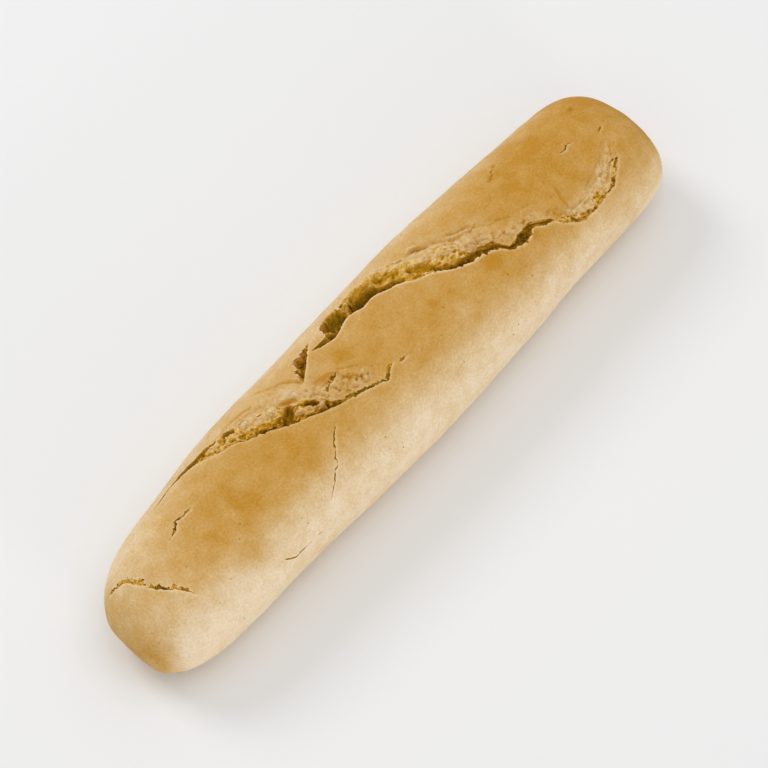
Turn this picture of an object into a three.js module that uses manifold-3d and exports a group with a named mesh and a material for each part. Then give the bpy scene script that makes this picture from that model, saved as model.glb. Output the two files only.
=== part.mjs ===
// Short baguette: one loaf with two burst slashes, a gash between them, a torn end and a cracked crust.
// Millimetres, +Z up. The loaf lies along X on the plane z = 0, its nose at -X and its blunt end at +X.
import * as THREE from 'three';
import { mergeVertices } from 'three/addons/utils/BufferGeometryUtils.js';
import Module from 'manifold-3d';

// Driving sizes of the loaf
const LENGTH = 280;
const HALF_WIDTH = 31;
const HEIGHT = 46;
const WAIST = 0.44; // height of the widest line, as a share of the height
const SETTLE = 1.5; // how far the round underside is pressed flat on the baking tray
const UNDERSIDE_POWER = 2.6; // squareness of the lower half of a section, 2 is an ellipse
const TAPER_POWER = 1.6; // how late the loaf narrows towards its ends
const CAP_POWER = 2.2; // roundness of the ends
const TIP_POWER = 6; // how late the ends turn aside
const CENTRE_LINE = -0.5; // sideways place of the sections, so that the whole loaf is centred
const CROWN_RADIUS = 28; // roundness of the crust across the top

// How each end narrows: shares of width and height lost, bluntness from above and from the side,
// and the height of the tip and its place aside
const NOSE = {
  taper: 0.165,
  drop: 0.1,
  planBluntness: 12,
  sideBluntness: 12,
  tipHeight: 15,
  tipAside: -3,
};
const BLUNT_END = {
  taper: 0.165,
  drop: 0.04,
  planBluntness: 24,
  sideBluntness: 14,
  tipHeight: 15,
  tipAside: -2,
};

// Swellings of the +Y side, where the dough pushed out of the slashes
const SWELLS = [
  { x: -60, reach: 28, size: 1.6 },
  { x: 40, reach: 32, size: 1.6 },
];

// Gentle waves of the crust: turns in a millimetre of length, turns around the loaf, start
const WAVES = [
  [0.083, 2, 0],
  [0.141, -3, 1],
  [0.052, 4, 2],
];
const WAVE_HEIGHT = 0.12;

// Faces of the crust: around the loaf and along it
const AROUND = 44;
const ALONG = 60;

// A place on the crust is a length x and an angle in degrees from the top of the loaf, positive towards +Y.
// A burst runs along its lower lip. Each row is: x, angle, width of the open crumb, width of the deep gap
// beside the lip, depth of the gap, depth of the crumb. Its ends rise just clear of the crust.
const FIRST_SLASH = {
  steps: 40,
  rows: [
    [-104, 52, 0.6, 0.4, -0.3, -0.3],
    [-95, 51, 1.8, 0.9, 2, 1],
    [-85, 45, 3.2, 1, 3, 2],
    [-75, 32, 6, 1.2, 4, 2.6],
    [-66, 22, 8.5, 1.5, 5, 3],
    [-57, 11, 9.5, 2, 6, 3.2],
    [-48, 3, 10, 4, 8, 3.6],
    [-41, -3, 9, 2.2, 6, 3],
    [-34, -9, 7, 2.6, 6, 2.6],
    [-28, -13, 3.5, 1.4, 4, 1.5],
    [-23, -14, 0.6, 0.4, -0.3, -0.3],
  ],
};
const SECOND_SLASH = {
  steps: 56,
  rows: [
    [-20, 33, 0.6, 0.4, -0.3, -0.3],
    [-14, 27.5, 5, 3, 5, 2],
    [-8, 26, 9, 5, 7.5, 3],
    [0, 26.5, 10.5, 4.5, 8.5, 3.6],
    [8, 26, 11, 3.5, 8.5, 3.8],
    [16, 22, 10, 2.5, 8, 3.6],
    [24, 13, 9.5, 1.8, 6.5, 3.4],
    [32, 6.5, 9, 1.6, 6, 3],
    [40, -6, 7.5, 2.2, 6.5, 2.4],
    [47, -9.5, 5.5, 2, 6.5, 2],
    [55, -15, 4.5, 1.8, 6, 1.8],
    [58, -22.5, 5, 2, 6.5, 1.8],
    [66, -25.5, 6, 4, 7.5, 1.8],
    [71, -22, 3.5, 1.5, 5, 1.4],
    [78, -32, 1.4, 1, 3, 1],
    [82, -37, 0.6, 0.4, -0.3, -0.3],
  ],
};
const GASH = {
  steps: 8,
  rows: [
    [-32, 20, 0.6, 0.4, -0.3, -0.3],
    [-26, 27, 4, 3.2, 5, 2.5],
    [-21, 34.5, 4.8, 4, 6, 3],
    [-16, 42, 0.6, 0.4, -0.3, -0.3],
  ],
};
const TORN_END = {
  steps: 22,
  rows: [
    [83, -41, 0.6, 0.4, -0.3, -0.3],
    [87, -46.5, 2.6, 0.9, 1.8, 1.1],
    [93, -50, 3.6, 1.1, 2, 1.3],
    [99, -48.5, 5, 1.1, 2, 1.2],
    [104, -47, 5, 0.9, 1.8, 1.1],
    [109, -42.5, 3.4, 1, 1.8, 1.1],
    [113, -34, 2.8, 1.2, 1.8, 1.1],
    [118, -20, 1.6, 0.7, 1.2, 0.8],
    [121, -11, 0.6, 0.4, -0.3, -0.3],
  ],
};

// Section of a burst, from the rim above its lower lip to the rim above its upper lip. Each row is: share
// of the gap's width, share of the rest of the crumb's width, share of the gap's depth and of the crumb's.
const BURST_SECTION = [
  [-0.08, 0, -0.5, 0],
  [-0.16, 0, 0.6, 0],
  [0.2, 0, 1, 0],
  [0.9, 0, 0.85, 0.1],
  [1, 0.12, 0.1, 1],
  [1, 0.4, 0, 0.95],
  [1, 0.7, 0, 0.65],
  [1, 0.95, 0, 0.3],
  [1, 1.12, 0, -0.6],
];
const LIP_COLUMNS = 2; // rows of the section, after its first, that wander together with the lower lip
const RIM = 1.2; // height of a rim above the crust
const FULLY_OPEN = 4; // a burst this wide is torn to the full
const CRAG = 0.55; // how uneven the torn crumb is
const LIP_JAG = 0.45; // how far a torn lip wanders

// Cracks of the crust: width, depth and the places that they run through
const END_CRACK = {
  width: 1.3,
  depth: 2.2,
  places: [[-133, 54], [-131, 45], [-128, 31], [-127.5, 22], [-126, 11]],
};
const END_CRACK_TAIL = {
  width: 1,
  depth: 1.8,
  places: [[-127, 5], [-124, -5], [-122, -12], [-120.5, -14.5], [-118.5, -22], [-117, -33]],
};
const NOSE_CRACK = {
  width: 1,
  depth: 1.8,
  places: [[-108.5, 14.5], [-104.5, 15], [-102, 22.5], [-99, 19], [-93, 18]],
};
const SLASH_TAIL = {
  width: 1.1,
  depth: 2,
  places: [[-23.5, -13.5], [-20, -15], [-16, -19], [-11.5, -23], [-9, -19], [-5, -17.5]],
};
const SIDE_CRACK = {
  width: 0.8,
  depth: 1.4,
  places: [[-60, -64.5], [-53.5, -49.5], [-48.5, -40], [-46, -34], [-42, -25.5], [-38, -19]],
};
const LOW_CRACK = { width: 0.8, depth: 1.4, places: [[-84, -67], [-80.5, -74], [-74.5, -75], [-63.5, -75]] };
const TOP_CRACK = { width: 0.8, depth: 1.4, places: [[100.5, 1.5], [103.5, 2], [107, 0]] };
const FAR_CRACK = { width: 0.8, depth: 1.4, places: [[118.5, -7.5], [122, -5]] };
const CRACK_STEPS = 3; // steps of a crack between two of its places
const CRACK_CLOSING = 0.6; // how suddenly a crack closes at its ends
const CRACK_TIP = 0.04; // share of a crack's length where it has closed

const LID = 6; // height of a cutter above the crust
const PROBE = 0.01; // small step for measuring directions on the crust
const WELD = 1e-4; // points closer than this are one point
const CRUST_COLOUR = 0xd1a96a;
const CRUST_ROUGHNESS = 0.75;

const wasm = await Module();
wasm.setup();

// A steady draw between -1 and 1 for a numbered place
function draw(i, j, seed) {
  const mixed = Math.sin(i * 127.1 + j * 311.7 + seed * 74.7) * 43758.5453;
  return 2 * (mixed - Math.floor(mixed)) - 1;
}

function signedPower(value, power) {
  return Math.sign(value) * Math.abs(value) ** power;
}

// Share of the way from the middle of the loaf to its end
function reachAt(x) {
  return Math.min(Math.abs((2 * x) / LENGTH), 1);
}

// Sizes of the loaf's section at length x
function sectionAt(x) {
  const end = x < 0 ? NOSE : BLUNT_END;
  const reach = reachAt(x);
  const narrowing = reach ** TAPER_POWER;
  const planCap = (1 - reach ** end.planBluntness) ** (1 / CAP_POWER);
  const sideCap = (1 - reach ** end.sideBluntness) ** (1 / CAP_POWER);
  const height = HEIGHT * (1 - end.drop * narrowing);
  const swell = SWELLS.reduce((sum, s) => sum + s.size * Math.exp(-(((x - s.x) / s.reach) ** 2)), 0);
  return {
    halfWidth: HALF_WIDTH * (1 - end.taper * narrowing) * planCap,
    swell: swell * planCap,
    waist: end.tipHeight + (WAIST * height - end.tipHeight) * sideCap,
    rise: (1 - WAIST) * height * sideCap,
    fall: (WAIST * height + SETTLE) * sideCap,
    middle: CENTRE_LINE + end.tipAside * reach ** TIP_POWER,
  };
}

// Height of the crust's waves, which fade towards the tips and the underside
function waveAt(x, turn) {
  const fade = (1 - reachAt(x) ** 8) * Math.max(Math.cos(turn / 1.6), 0);
  return WAVES.reduce((sum, [along, turns, start]) => {
    return sum + WAVE_HEIGHT * fade * Math.sin(along * x + turns * turn + start);
  }, 0);
}

function crustPoint(x, angle) {
  const section = sectionAt(x);
  const turn = THREE.MathUtils.degToRad(angle);
  const below = Math.cos(turn) < 0;
  const power = below ? 2 / UNDERSIDE_POWER : 1;
  const across = signedPower(Math.sin(turn), power);
  const up = signedPower(Math.cos(turn), power);
  const wave = waveAt(x, turn);
  const halfWidth = section.halfWidth + section.swell * Math.max(across, 0) + wave * Math.abs(across);
  const halfHeight = (below ? section.fall : section.rise) + wave * Math.abs(up);
  const height = Math.max(section.waist + halfHeight * up, 0);
  return new THREE.Vector3(x, section.middle + halfWidth * across, height);
}

// Direction straight out of the crust
function outOfCrust(x, angle) {
  const along = crustPoint(x + PROBE, angle).sub(crustPoint(x - PROBE, angle));
  const around = crustPoint(x, angle + PROBE).sub(crustPoint(x, angle - PROBE));
  return along.cross(around).normalize();
}

function solidFrom(geometry) {
  geometry.deleteAttribute('normal');
  geometry.deleteAttribute('uv');
  const merged = mergeVertices(geometry, WELD);
  const vertProperties = new Float32Array(merged.attributes.position.array);
  const triVerts = new Uint32Array(merged.index.array);
  return new wasm.Manifold(new wasm.Mesh({ numProp: 3, vertProperties, triVerts }));
}

// The whole loaf before it bursts: a ball drawn out to the crust
function loafSolid() {
  const ball = new THREE.SphereGeometry(1, AROUND, ALONG);
  const { position, uv } = ball.attributes;
  for (let i = 0; i < position.count; i += 1) {
    const x = (LENGTH / 2) * Math.cos(Math.PI * uv.getY(i));
    const place = crustPoint(x, 360 * uv.getX(i) - 180);
    position.setXYZ(i, place.x, place.y, place.z);
  }
  return solidFrom(ball);
}

// A cutter laid along the crust: a block whose lid stands clear above and whose floor is shaped.
// pathAt(t) gives a place on the crust, and floorAt(i, j) gives [distance aside, height above the crust].
function layCutter(steps, columns, pathAt, floorAt) {
  const block = new THREE.BoxGeometry(1, 1, 1, steps, columns, 1);
  const { position } = block.attributes;
  for (let v = 0; v < position.count; v += 1) {
    const i = Math.round((position.getX(v) + 0.5) * steps);
    const j = Math.round((position.getY(v) + 0.5) * columns);
    const t = i / steps;
    const [x, angle] = pathAt(t);
    const before = crustPoint(...pathAt(Math.max(t - PROBE, 0)));
    const heading = crustPoint(...pathAt(Math.min(t + PROBE, 1))).sub(before);
    const out = outOfCrust(x, angle);
    const aside = new THREE.Vector3().crossVectors(out, heading).normalize();
    const [distance, height] = floorAt(i, j);
    const lift = position.getZ(v) > 0 ? LID : height - distance ** 2 / (2 * CROWN_RADIUS);
    const place = crustPoint(x, angle).addScaledVector(aside, distance).addScaledVector(out, lift);
    position.setXYZ(v, place.x, place.y, place.z);
  }
  return solidFrom(block);
}

// Row of a table at share t of its length, by straight steps between the rows
function rowAt(rows, t) {
  const at = t * (rows.length - 1);
  const low = Math.min(Math.floor(at), rows.length - 2);
  return rows[low].map((size, k) => THREE.MathUtils.lerp(size, rows[low + 1][k], at - low));
}

// Cuts a burst: the gap under the lower lip, and the crumb that slopes up from it to the upper lip
function burstCutter({ steps, rows }, seed) {
  const path = new THREE.SplineCurve(rows.map(([x, angle]) => new THREE.Vector2(x, angle)));
  const last = BURST_SECTION.length - 1;
  const pathAt = (t) => path.getPoint(t).toArray();
  const floorAt = (i, j) => {
    const [, , crumb, gap, gapDepth, crumbDepth] = rowAt(rows, i / steps);
    const [ofGap, ofRest, ofGapDepth, ofCrumbDepth] = BURST_SECTION[j];
    const openness = Math.min(crumb / FULLY_OPEN, 1);
    const jag = LIP_JAG * openness * draw(i, j <= LIP_COLUMNS ? 0 : j, seed);
    const uneven = j === 0 || j === last ? RIM : CRAG * openness * draw(i, j, seed + 1);
    const depth = ofGapDepth * gapDepth + ofCrumbDepth * crumbDepth;
    return [ofGap * gap + ofRest * (crumb - gap) + jag, uneven - depth];
  };
  return layCutter(steps, last, pathAt, floorAt);
}

// Cuts a crack: a jagged groove that closes towards its ends
function crackCutter({ width, depth, places }, seed) {
  const steps = CRACK_STEPS * (places.length - 1);
  const spread = (width * (depth + RIM)) / depth;
  const pathAt = (t) => rowAt(places, t);
  const floorAt = (i, j) => {
    const share = THREE.MathUtils.clamp(i / steps, CRACK_TIP, 1 - CRACK_TIP);
    const open = Math.sin(Math.PI * share) ** CRACK_CLOSING;
    const jag = LIP_JAG * open * draw(i, 0, seed);
    return [((j - 1) * spread) / 2 + jag, j === 1 ? RIM - (depth + RIM) * open : RIM];
  };
  return layCutter(steps, 2, pathAt, floorAt);
}

function meshOf(name, solid) {
  const { vertProperties, triVerts } = solid.getMesh();
  const geometry = new THREE.BufferGeometry();
  geometry.setAttribute('position', new THREE.BufferAttribute(new Float32Array(vertProperties), 3));
  geometry.setIndex(new THREE.BufferAttribute(new Uint32Array(triVerts), 1));
  geometry.computeVertexNormals();
  const finish = { color: CRUST_COLOUR, roughness: CRUST_ROUGHNESS, metalness: 0 };
  const mesh = new THREE.Mesh(geometry, new THREE.MeshStandardMaterial(finish));
  mesh.name = name;
  return mesh;
}

const cutters = [
  burstCutter(FIRST_SLASH, 0),
  burstCutter(SECOND_SLASH, 10),
  burstCutter(GASH, 20),
  burstCutter(TORN_END, 30),
  crackCutter(END_CRACK, 40),
  crackCutter(END_CRACK_TAIL, 41),
  crackCutter(NOSE_CRACK, 42),
  crackCutter(SLASH_TAIL, 43),
  crackCutter(SIDE_CRACK, 44),
  crackCutter(LOW_CRACK, 45),
  crackCutter(TOP_CRACK, 46),
  crackCutter(FAR_CRACK, 47),
];
const loaf = cutters.reduce((solid, cutter) => solid.subtract(cutter), loafSolid());

const baguette = new THREE.Group();
baguette.add(meshOf('loaf', loaf));

export default baguette;
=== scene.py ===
"""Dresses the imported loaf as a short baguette: a sculpted crust with burst slashes, under soft studio light."""

import logging
import math
from collections.abc import Iterator
from contextlib import contextmanager
from dataclasses import dataclass, field
from enum import Enum

import bpy
import numpy as np
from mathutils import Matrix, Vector, kdtree, noise
from mathutils.bvhtree import BVHTree


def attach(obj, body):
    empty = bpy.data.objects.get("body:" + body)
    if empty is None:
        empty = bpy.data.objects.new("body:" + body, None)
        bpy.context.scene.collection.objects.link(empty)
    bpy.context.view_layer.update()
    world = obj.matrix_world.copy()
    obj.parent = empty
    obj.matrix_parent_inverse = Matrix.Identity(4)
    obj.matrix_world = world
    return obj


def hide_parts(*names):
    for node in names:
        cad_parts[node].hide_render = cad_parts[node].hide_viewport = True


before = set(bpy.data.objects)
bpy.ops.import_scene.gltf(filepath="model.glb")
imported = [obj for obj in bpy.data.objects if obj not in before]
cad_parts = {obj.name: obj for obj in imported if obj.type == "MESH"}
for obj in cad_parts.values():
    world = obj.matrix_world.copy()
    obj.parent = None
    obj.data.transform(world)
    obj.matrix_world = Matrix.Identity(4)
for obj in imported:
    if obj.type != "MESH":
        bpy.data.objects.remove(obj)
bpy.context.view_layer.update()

LOG = logging.getLogger("baguette")
MM = 0.001
LEAST_LENGTH = 1e-9
LEAST_REACH = 1e-6

# Fractal noise: how fast its finer layers fade, how much finer each is, and how far one seed moves it
LAYER_FADE = 0.9
LAYER_STEP = 2.1
ROUGH_SHIFT = (17.3, 5.9, 11.1)

# Pores: how far one seed moves them, and the shares of their spacing where they start and are deepest
PORE_SHIFT = (7.7, 13.1, 3.3)
PORE_EDGE = 0.55
PORE_MIDDLE = 0.1

# A crack's deep gap as a share of its width, and its crumb's depth as a share of the gap's
CRACK_GAP = 0.6
CRACK_CRUMB = 0.7

# Turn from one feeler to the next, which spreads them evenly over a ball
GOLDEN_TURN = math.pi * (1.0 + math.sqrt(5.0))

# Sockets of a colour mix by their place, because several of them share a name
MIX_SHARE, MIX_FIRST, MIX_SECOND, MIX_RESULT = 0, 6, 7, 2

# Middle of cloudy noise
CLOUD_MIDDLE = 0.5

Colour = tuple[float, float, float, float]
Range = tuple[float, float]


def colour(red: int, green: int, blue: int) -> Colour:
    """A colour given as 0 to 255 on a screen, as the linear values that a shader takes.

    Args:
        red: Red share.
        green: Green share.
        blue: Blue share.

    Returns:
        Linear red, green, blue and a full alpha.
    """
    # The usual curve of a screen, which is straight where it is dark
    screen = np.array([red, green, blue]) / 255.0
    linear = np.where(screen <= 0.04045, screen / 12.92, ((screen + 0.055) / 1.055) ** 2.4)
    return (float(linear[0]), float(linear[1]), float(linear[2]), 1.0)


def smooth_step(low: float, high: float, values: np.ndarray) -> np.ndarray:
    """A soft step from 0 at low to 1 at high.

    Args:
        low: Where the step starts.
        high: Where the step ends; it may be the smaller of the two.
        values: Where the step is wanted.

    Returns:
        The step at each value.
    """
    share = np.clip((values - low) / (high - low), 0.0, 1.0)
    return share * share * (3.0 - 2.0 * share)


def bell(values: np.ndarray, middle: float, reach: float) -> np.ndarray:
    """A soft bump of height 1 about a middle."""
    return np.exp(-(((values - middle) / reach) ** 2))


def signed_power(values: np.ndarray, power: np.ndarray) -> np.ndarray:
    """Powers of sizes, with the signs kept."""
    return np.sign(values) * np.abs(values) ** power


def unit(vectors: np.ndarray) -> np.ndarray:
    """Rows of vectors at length 1."""
    return vectors / np.maximum(np.linalg.norm(vectors, axis=1, keepdims=True), LEAST_LENGTH)


def dot(first: np.ndarray, second: np.ndarray) -> np.ndarray:
    """Products of two sets of vectors, row by row."""
    return np.einsum("ij,ij->i", first, second)


def rough(points: np.ndarray, grain: float, seed: float, octaves: int = 3) -> np.ndarray:
    """Steady fractal roughness of about -1 to 1.

    Args:
        points: Places in millimetres, one a row.
        grain: Size of the largest lumps, in millimetres.
        seed: Offset that makes one roughness differ from the next.
        octaves: How many finer layers it has.

    Returns:
        The roughness at each place.
    """
    offset = Vector([seed * shift for shift in ROUGH_SHIFT])
    return np.array([noise.fractal(Vector(p) / grain + offset, LAYER_FADE, LAYER_STEP, octaves) for p in points])


def pores(points: np.ndarray, spacing: float, seed: float) -> np.ndarray:
    """Steady round pores, 1 in the middle of a pore and 0 between pores.

    Args:
        points: Places in millimetres, one a row.
        spacing: Usual distance between pores, in millimetres.
        seed: Offset that makes one set of pores differ from the next.

    Returns:
        How deep in a pore each place is.
    """
    offset = Vector([seed * shift for shift in PORE_SHIFT])
    depth = np.array([noise.voronoi(Vector(p) / spacing + offset)[0][0] for p in points])
    return smooth_step(PORE_EDGE, PORE_MIDDLE, depth)


def deselect_all() -> None:
    """Clears the selection, which the import leaves full."""
    bpy.ops.object.select_all(action="DESELECT")


def activate(piece: bpy.types.Object) -> None:
    """Makes a piece the only selected and the active one.

    Args:
        piece: The piece.
    """
    deselect_all()
    piece.select_set(True)
    bpy.context.view_layer.objects.active = piece


@contextmanager
def editing(piece: bpy.types.Object) -> Iterator[None]:
    """Edit mode by faces on one piece, for the length of a with block.

    Args:
        piece: The piece.

    Returns:
        The context of the block.
    """
    activate(piece)
    bpy.context.tool_settings.mesh_select_mode = (False, False, True)
    bpy.ops.object.mode_set(mode="EDIT")
    try:
        yield
    finally:
        bpy.ops.object.mode_set(mode="OBJECT")


def apply_modifier(piece: bpy.types.Object, kind: str, **settings: object) -> None:
    """Adds a modifier to a piece and applies it.

    Args:
        piece: The piece.
        kind: Blender's name of the modifier.
        settings: Values of the modifier's own properties.
    """
    activate(piece)
    modifier = piece.modifiers.new(kind.title(), kind)
    for name, value in settings.items():
        setattr(modifier, name, value)
    bpy.ops.object.modifier_apply(modifier=modifier.name)


def read_rows(items: bpy.types.bpy_prop_collection, name: str) -> np.ndarray:
    """One vector of each of a mesh's vertices or faces.

    Args:
        items: The vertices or faces.
        name: Blender's name of the vector.

    Returns:
        The vectors, one a row.
    """
    flat = np.empty(3 * len(items))
    items.foreach_get(name, flat)
    return flat.reshape(-1, 3)


def read_points(piece: bpy.types.Object) -> np.ndarray:
    """A piece's vertices in millimetres, one a row."""
    return read_rows(piece.data.vertices, "co") / MM


def read_normals(piece: bpy.types.Object) -> np.ndarray:
    """A piece's vertex normals, one a row."""
    return read_rows(piece.data.vertices, "normal")


def write_points(piece: bpy.types.Object, points: np.ndarray) -> None:
    """Moves a piece's vertices to places in millimetres."""
    piece.data.vertices.foreach_set("co", (points * MM).ravel())
    piece.data.update()


def write_attribute(piece: bpy.types.Object, name: str, values: np.ndarray) -> None:
    """Stores one number for each vertex of a piece, for its material to read."""
    layer = piece.data.attributes.new(name, "FLOAT", "POINT")
    layer.data.foreach_set("value", values.astype(np.float32))


def spline(rows: np.ndarray, at: np.ndarray) -> np.ndarray:
    """A smooth curve through rows of numbers.

    Args:
        rows: The rows that it passes through, evenly spaced.
        at: Where it is wanted, from 0 at the first row to 1 at the last.

    Returns:
        The curve's value at each place, one a row.
    """
    spot = at * (len(rows) - 1)
    low = np.minimum(spot.astype(int), len(rows) - 2)
    t = (spot - low)[:, None]
    a, b = rows[np.maximum(low - 1, 0)], rows[low]
    c, d = rows[low + 1], rows[np.minimum(low + 2, len(rows) - 1)]
    return b + 0.5 * t * (c - a + t * (2.0 * a - 5.0 * b + 4.0 * c - d + t * (3.0 * (b - c) + d - a)))


def straight(rows: np.ndarray, at: np.ndarray) -> np.ndarray:
    """Straight steps through rows of numbers, with the arguments and result of spline."""
    knots = np.linspace(0.0, 1.0, len(rows))
    return np.stack([np.interp(at, knots, rows[:, k]) for k in range(rows.shape[1])], axis=1)


@dataclass(frozen=True)
class LoafEnd:
    """How one end of the loaf narrows: shares lost, bluntness from above and the side, and the tip's place."""

    taper: float
    drop: float
    plan_bluntness: float
    side_bluntness: float
    tip_height: float
    tip_aside: float


@dataclass(frozen=True)
class Swell:
    """A swelling of the +Y side, where dough pushed out of a slash, or a shallow dent of either side."""

    x: float
    reach: float
    size: float
    side: int = 1


@dataclass(frozen=True)
class Crust:
    """The loaf's smooth outer form, in millimetres.

    A place on it is a length x and an angle in degrees from the top, positive towards +Y. Waist is the height of
    the widest line as a share of the height, settle is how far the round underside is pressed flat, and the
    powers say how square or late each rounding is. Each wave is: turns in a millimetre, turns around, start.
    """

    length: float = 280.0
    half_width: float = 31.0
    height: float = 46.0
    waist: float = 0.44
    settle: float = 1.5
    underside_power: float = 2.6
    taper_power: float = 1.6
    cap_power: float = 2.2
    tip_power: float = 6.0
    centre_line: float = -0.5
    crown_radius: float = 28.0
    nose: LoafEnd = LoafEnd(0.165, 0.1, 12.0, 12.0, 15.0, -3.0)
    blunt_end: LoafEnd = LoafEnd(0.165, 0.04, 24.0, 14.0, 15.0, -2.0)
    swells: tuple[Swell, ...] = (
        Swell(-60.0, 28.0, 1.6),
        Swell(40.0, 32.0, 1.6),
        Swell(-102.0, 18.0, -0.9),
        Swell(-68.0, 34.0, -1.4, -1),
        Swell(78.0, 20.0, -1.1, -1),
    )
    waves: tuple[tuple[float, float, float], ...] = ((0.083, 2.0, 0.0), (0.141, -3.0, 1.0), (0.052, 4.0, 2.0))
    wave_height: float = 0.12
    wave_end_power: int = 8
    wave_spread: float = 1.6
    probe: float = 0.01

    def _reach(self, x: np.ndarray) -> np.ndarray:
        """Shares of the way from the middle of the loaf to its ends."""
        return np.minimum(np.abs(2.0 * x / self.length), 1.0)

    def _end(self, x: np.ndarray, name: str) -> np.ndarray:
        """One size of the end that each x lies towards."""
        return np.where(x < 0.0, getattr(self.nose, name), getattr(self.blunt_end, name))

    def section(self, x: np.ndarray) -> tuple[np.ndarray, ...]:
        """Sizes of the loaf's cross-sections.

        Args:
            x: Lengths along the loaf.

        Returns:
            Middle, half width, waist height, rise above it, fall below it, and the swells of +Y and -Y sides.
        """
        reach = self._reach(x)
        narrowing = reach**self.taper_power
        plan_cap = (1.0 - reach ** self._end(x, "plan_bluntness")) ** (1.0 / self.cap_power)
        side_cap = (1.0 - reach ** self._end(x, "side_bluntness")) ** (1.0 / self.cap_power)
        height = self.height * (1.0 - self._end(x, "drop") * narrowing)
        tip_height = self._end(x, "tip_height")
        middle = self.centre_line + self._end(x, "tip_aside") * reach**self.tip_power
        half_width = self.half_width * (1.0 - self._end(x, "taper") * narrowing) * plan_cap
        waist = tip_height + (self.waist * height - tip_height) * side_cap
        rise = (1.0 - self.waist) * height * side_cap
        fall = (self.waist * height + self.settle) * side_cap
        far, near = (sum(s.size * bell(x, s.x, s.reach) for s in self.swells if s.side == side) * plan_cap
                     for side in (1, -1))
        return middle, half_width, waist, rise, fall, far, near

    def points(self, x: np.ndarray, angle: np.ndarray) -> np.ndarray:
        """Places on the crust.

        Args:
            x: Lengths along the loaf.
            angle: Angles from the top, in degrees.

        Returns:
            The places in millimetres, one a row.
        """
        middle, half_width, waist, rise, fall, far, near = self.section(x)
        turn = np.radians(angle)
        below = np.cos(turn) < 0.0
        power = np.where(below, 2.0 / self.underside_power, 1.0)
        across = signed_power(np.sin(turn), power)
        up = signed_power(np.cos(turn), power)
        fade = 1.0 - self._reach(x) ** self.wave_end_power
        fade = fade * np.maximum(np.cos(turn / self.wave_spread), 0.0)
        wave = sum(np.sin(along * x + turns * turn + start) for along, turns, start in self.waves)
        wave = self.wave_height * fade * wave
        swell = far * np.maximum(across, 0.0) + near * np.maximum(-across, 0.0)
        reach_aside = half_width + swell + wave * np.abs(across)
        reach_up = np.where(below, fall, rise) + wave * np.abs(up)
        return np.stack([x, middle + reach_aside * across, np.maximum(waist + reach_up * up, 0.0)], axis=1)

    def outward(self, x: np.ndarray, angle: np.ndarray) -> np.ndarray:
        """Directions straight out of the crust.

        Args:
            x: Lengths along the loaf.
            angle: Angles from the top, in degrees.

        Returns:
            The direction at each place, one a row.
        """
        inner = np.clip(x, -self.length / 2.0 + 2.0 * self.probe, self.length / 2.0 - 2.0 * self.probe)
        along = self.points(inner + self.probe, angle) - self.points(inner - self.probe, angle)
        around = self.points(inner, angle + self.probe) - self.points(inner, angle - self.probe)
        return unit(np.cross(along, around))

    def angle_of(self, points: np.ndarray) -> np.ndarray:
        """Angles from the top, in degrees, of points on the crust or below it.

        Args:
            points: Places in millimetres, one a row.

        Returns:
            The angle of the crust that lies over each point.
        """
        middle, half_width, waist, rise, fall, far, near = self.section(points[:, 0])
        aside = points[:, 1] - middle
        up = points[:, 2] - waist
        below = up < 0.0
        power = np.where(below, self.underside_power / 2.0, 1.0)
        across = aside / np.maximum(half_width + np.where(aside > 0.0, far, near), LEAST_REACH)
        lift = up / np.maximum(np.where(below, fall, rise), LEAST_REACH)
        return np.degrees(np.arctan2(signed_power(across, power), signed_power(lift, power)))


@dataclass(frozen=True)
class Flat:
    """A place of the nose that was pressed flat: the way it faces, and how far out it lies, in millimetres."""

    facing: tuple[float, float, float] = (-0.923, 0.118, -0.366)
    reach: float = 123.7
    soft: float = 0.6
    near: Range = (-6.0, -1.0)

    def press(self, points: np.ndarray) -> np.ndarray:
        """Presses points that lie past the flat back to it.

        Args:
            points: Places in millimetres, one a row.

        Returns:
            The places after pressing.
        """
        past = points @ np.array(self.facing) - self.reach
        past = 0.5 * (past + np.sqrt(past**2 + self.soft**2)) * smooth_step(*self.near, past)
        return points - past[:, None] * np.array(self.facing)


@dataclass(frozen=True)
class Track:
    """A line on the crust, with the directions aside and out at each of its steps.

    Hollow is how far above or below it a place still counts as beside it, in millimetres.
    """

    place: np.ndarray
    aside: np.ndarray
    out: np.ndarray
    hollow: float = 10.0

    @classmethod
    def along(cls, crust: Crust, x: np.ndarray, angle: np.ndarray) -> "Track":
        """A track through places on the crust.

        Args:
            crust: The crust that it lies on.
            x: Lengths of its steps.
            angle: Angles of its steps, in degrees.

        Returns:
            The track.
        """
        place = crust.points(x, angle)
        out = crust.outward(x, angle)
        aside = unit(np.cross(out, np.gradient(place, axis=0)))
        return cls(place, aside, out)

    def locate(self, points: np.ndarray) -> tuple[np.ndarray, np.ndarray, np.ndarray]:
        """Where points lie beside the track.

        Args:
            points: Places in millimetres, one a row.

        Returns:
            The nearest step's share of the track, the distance aside of it, and the distance past its ends
            or far above or below it.
        """
        tree = kdtree.KDTree(len(self.place))
        for k, spot in enumerate(self.place):
            tree.insert(spot, k)
        tree.balance()
        nearest = np.array([tree.find(p)[1] for p in points])
        offset = points - self.place[nearest]
        aside = dot(offset, self.aside[nearest])
        out = dot(offset, self.out[nearest])
        past = np.sqrt(np.maximum(dot(offset, offset) - aside**2 - out**2, 0.0))
        return nearest / (len(self.place) - 1), aside, np.hypot(past, np.maximum(np.abs(out) - self.hollow, 0.0))

    @property
    def length(self) -> float:
        """Length of the line in millimetres."""
        return float(np.linalg.norm(np.diff(self.place, axis=0), axis=1).sum())


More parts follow.
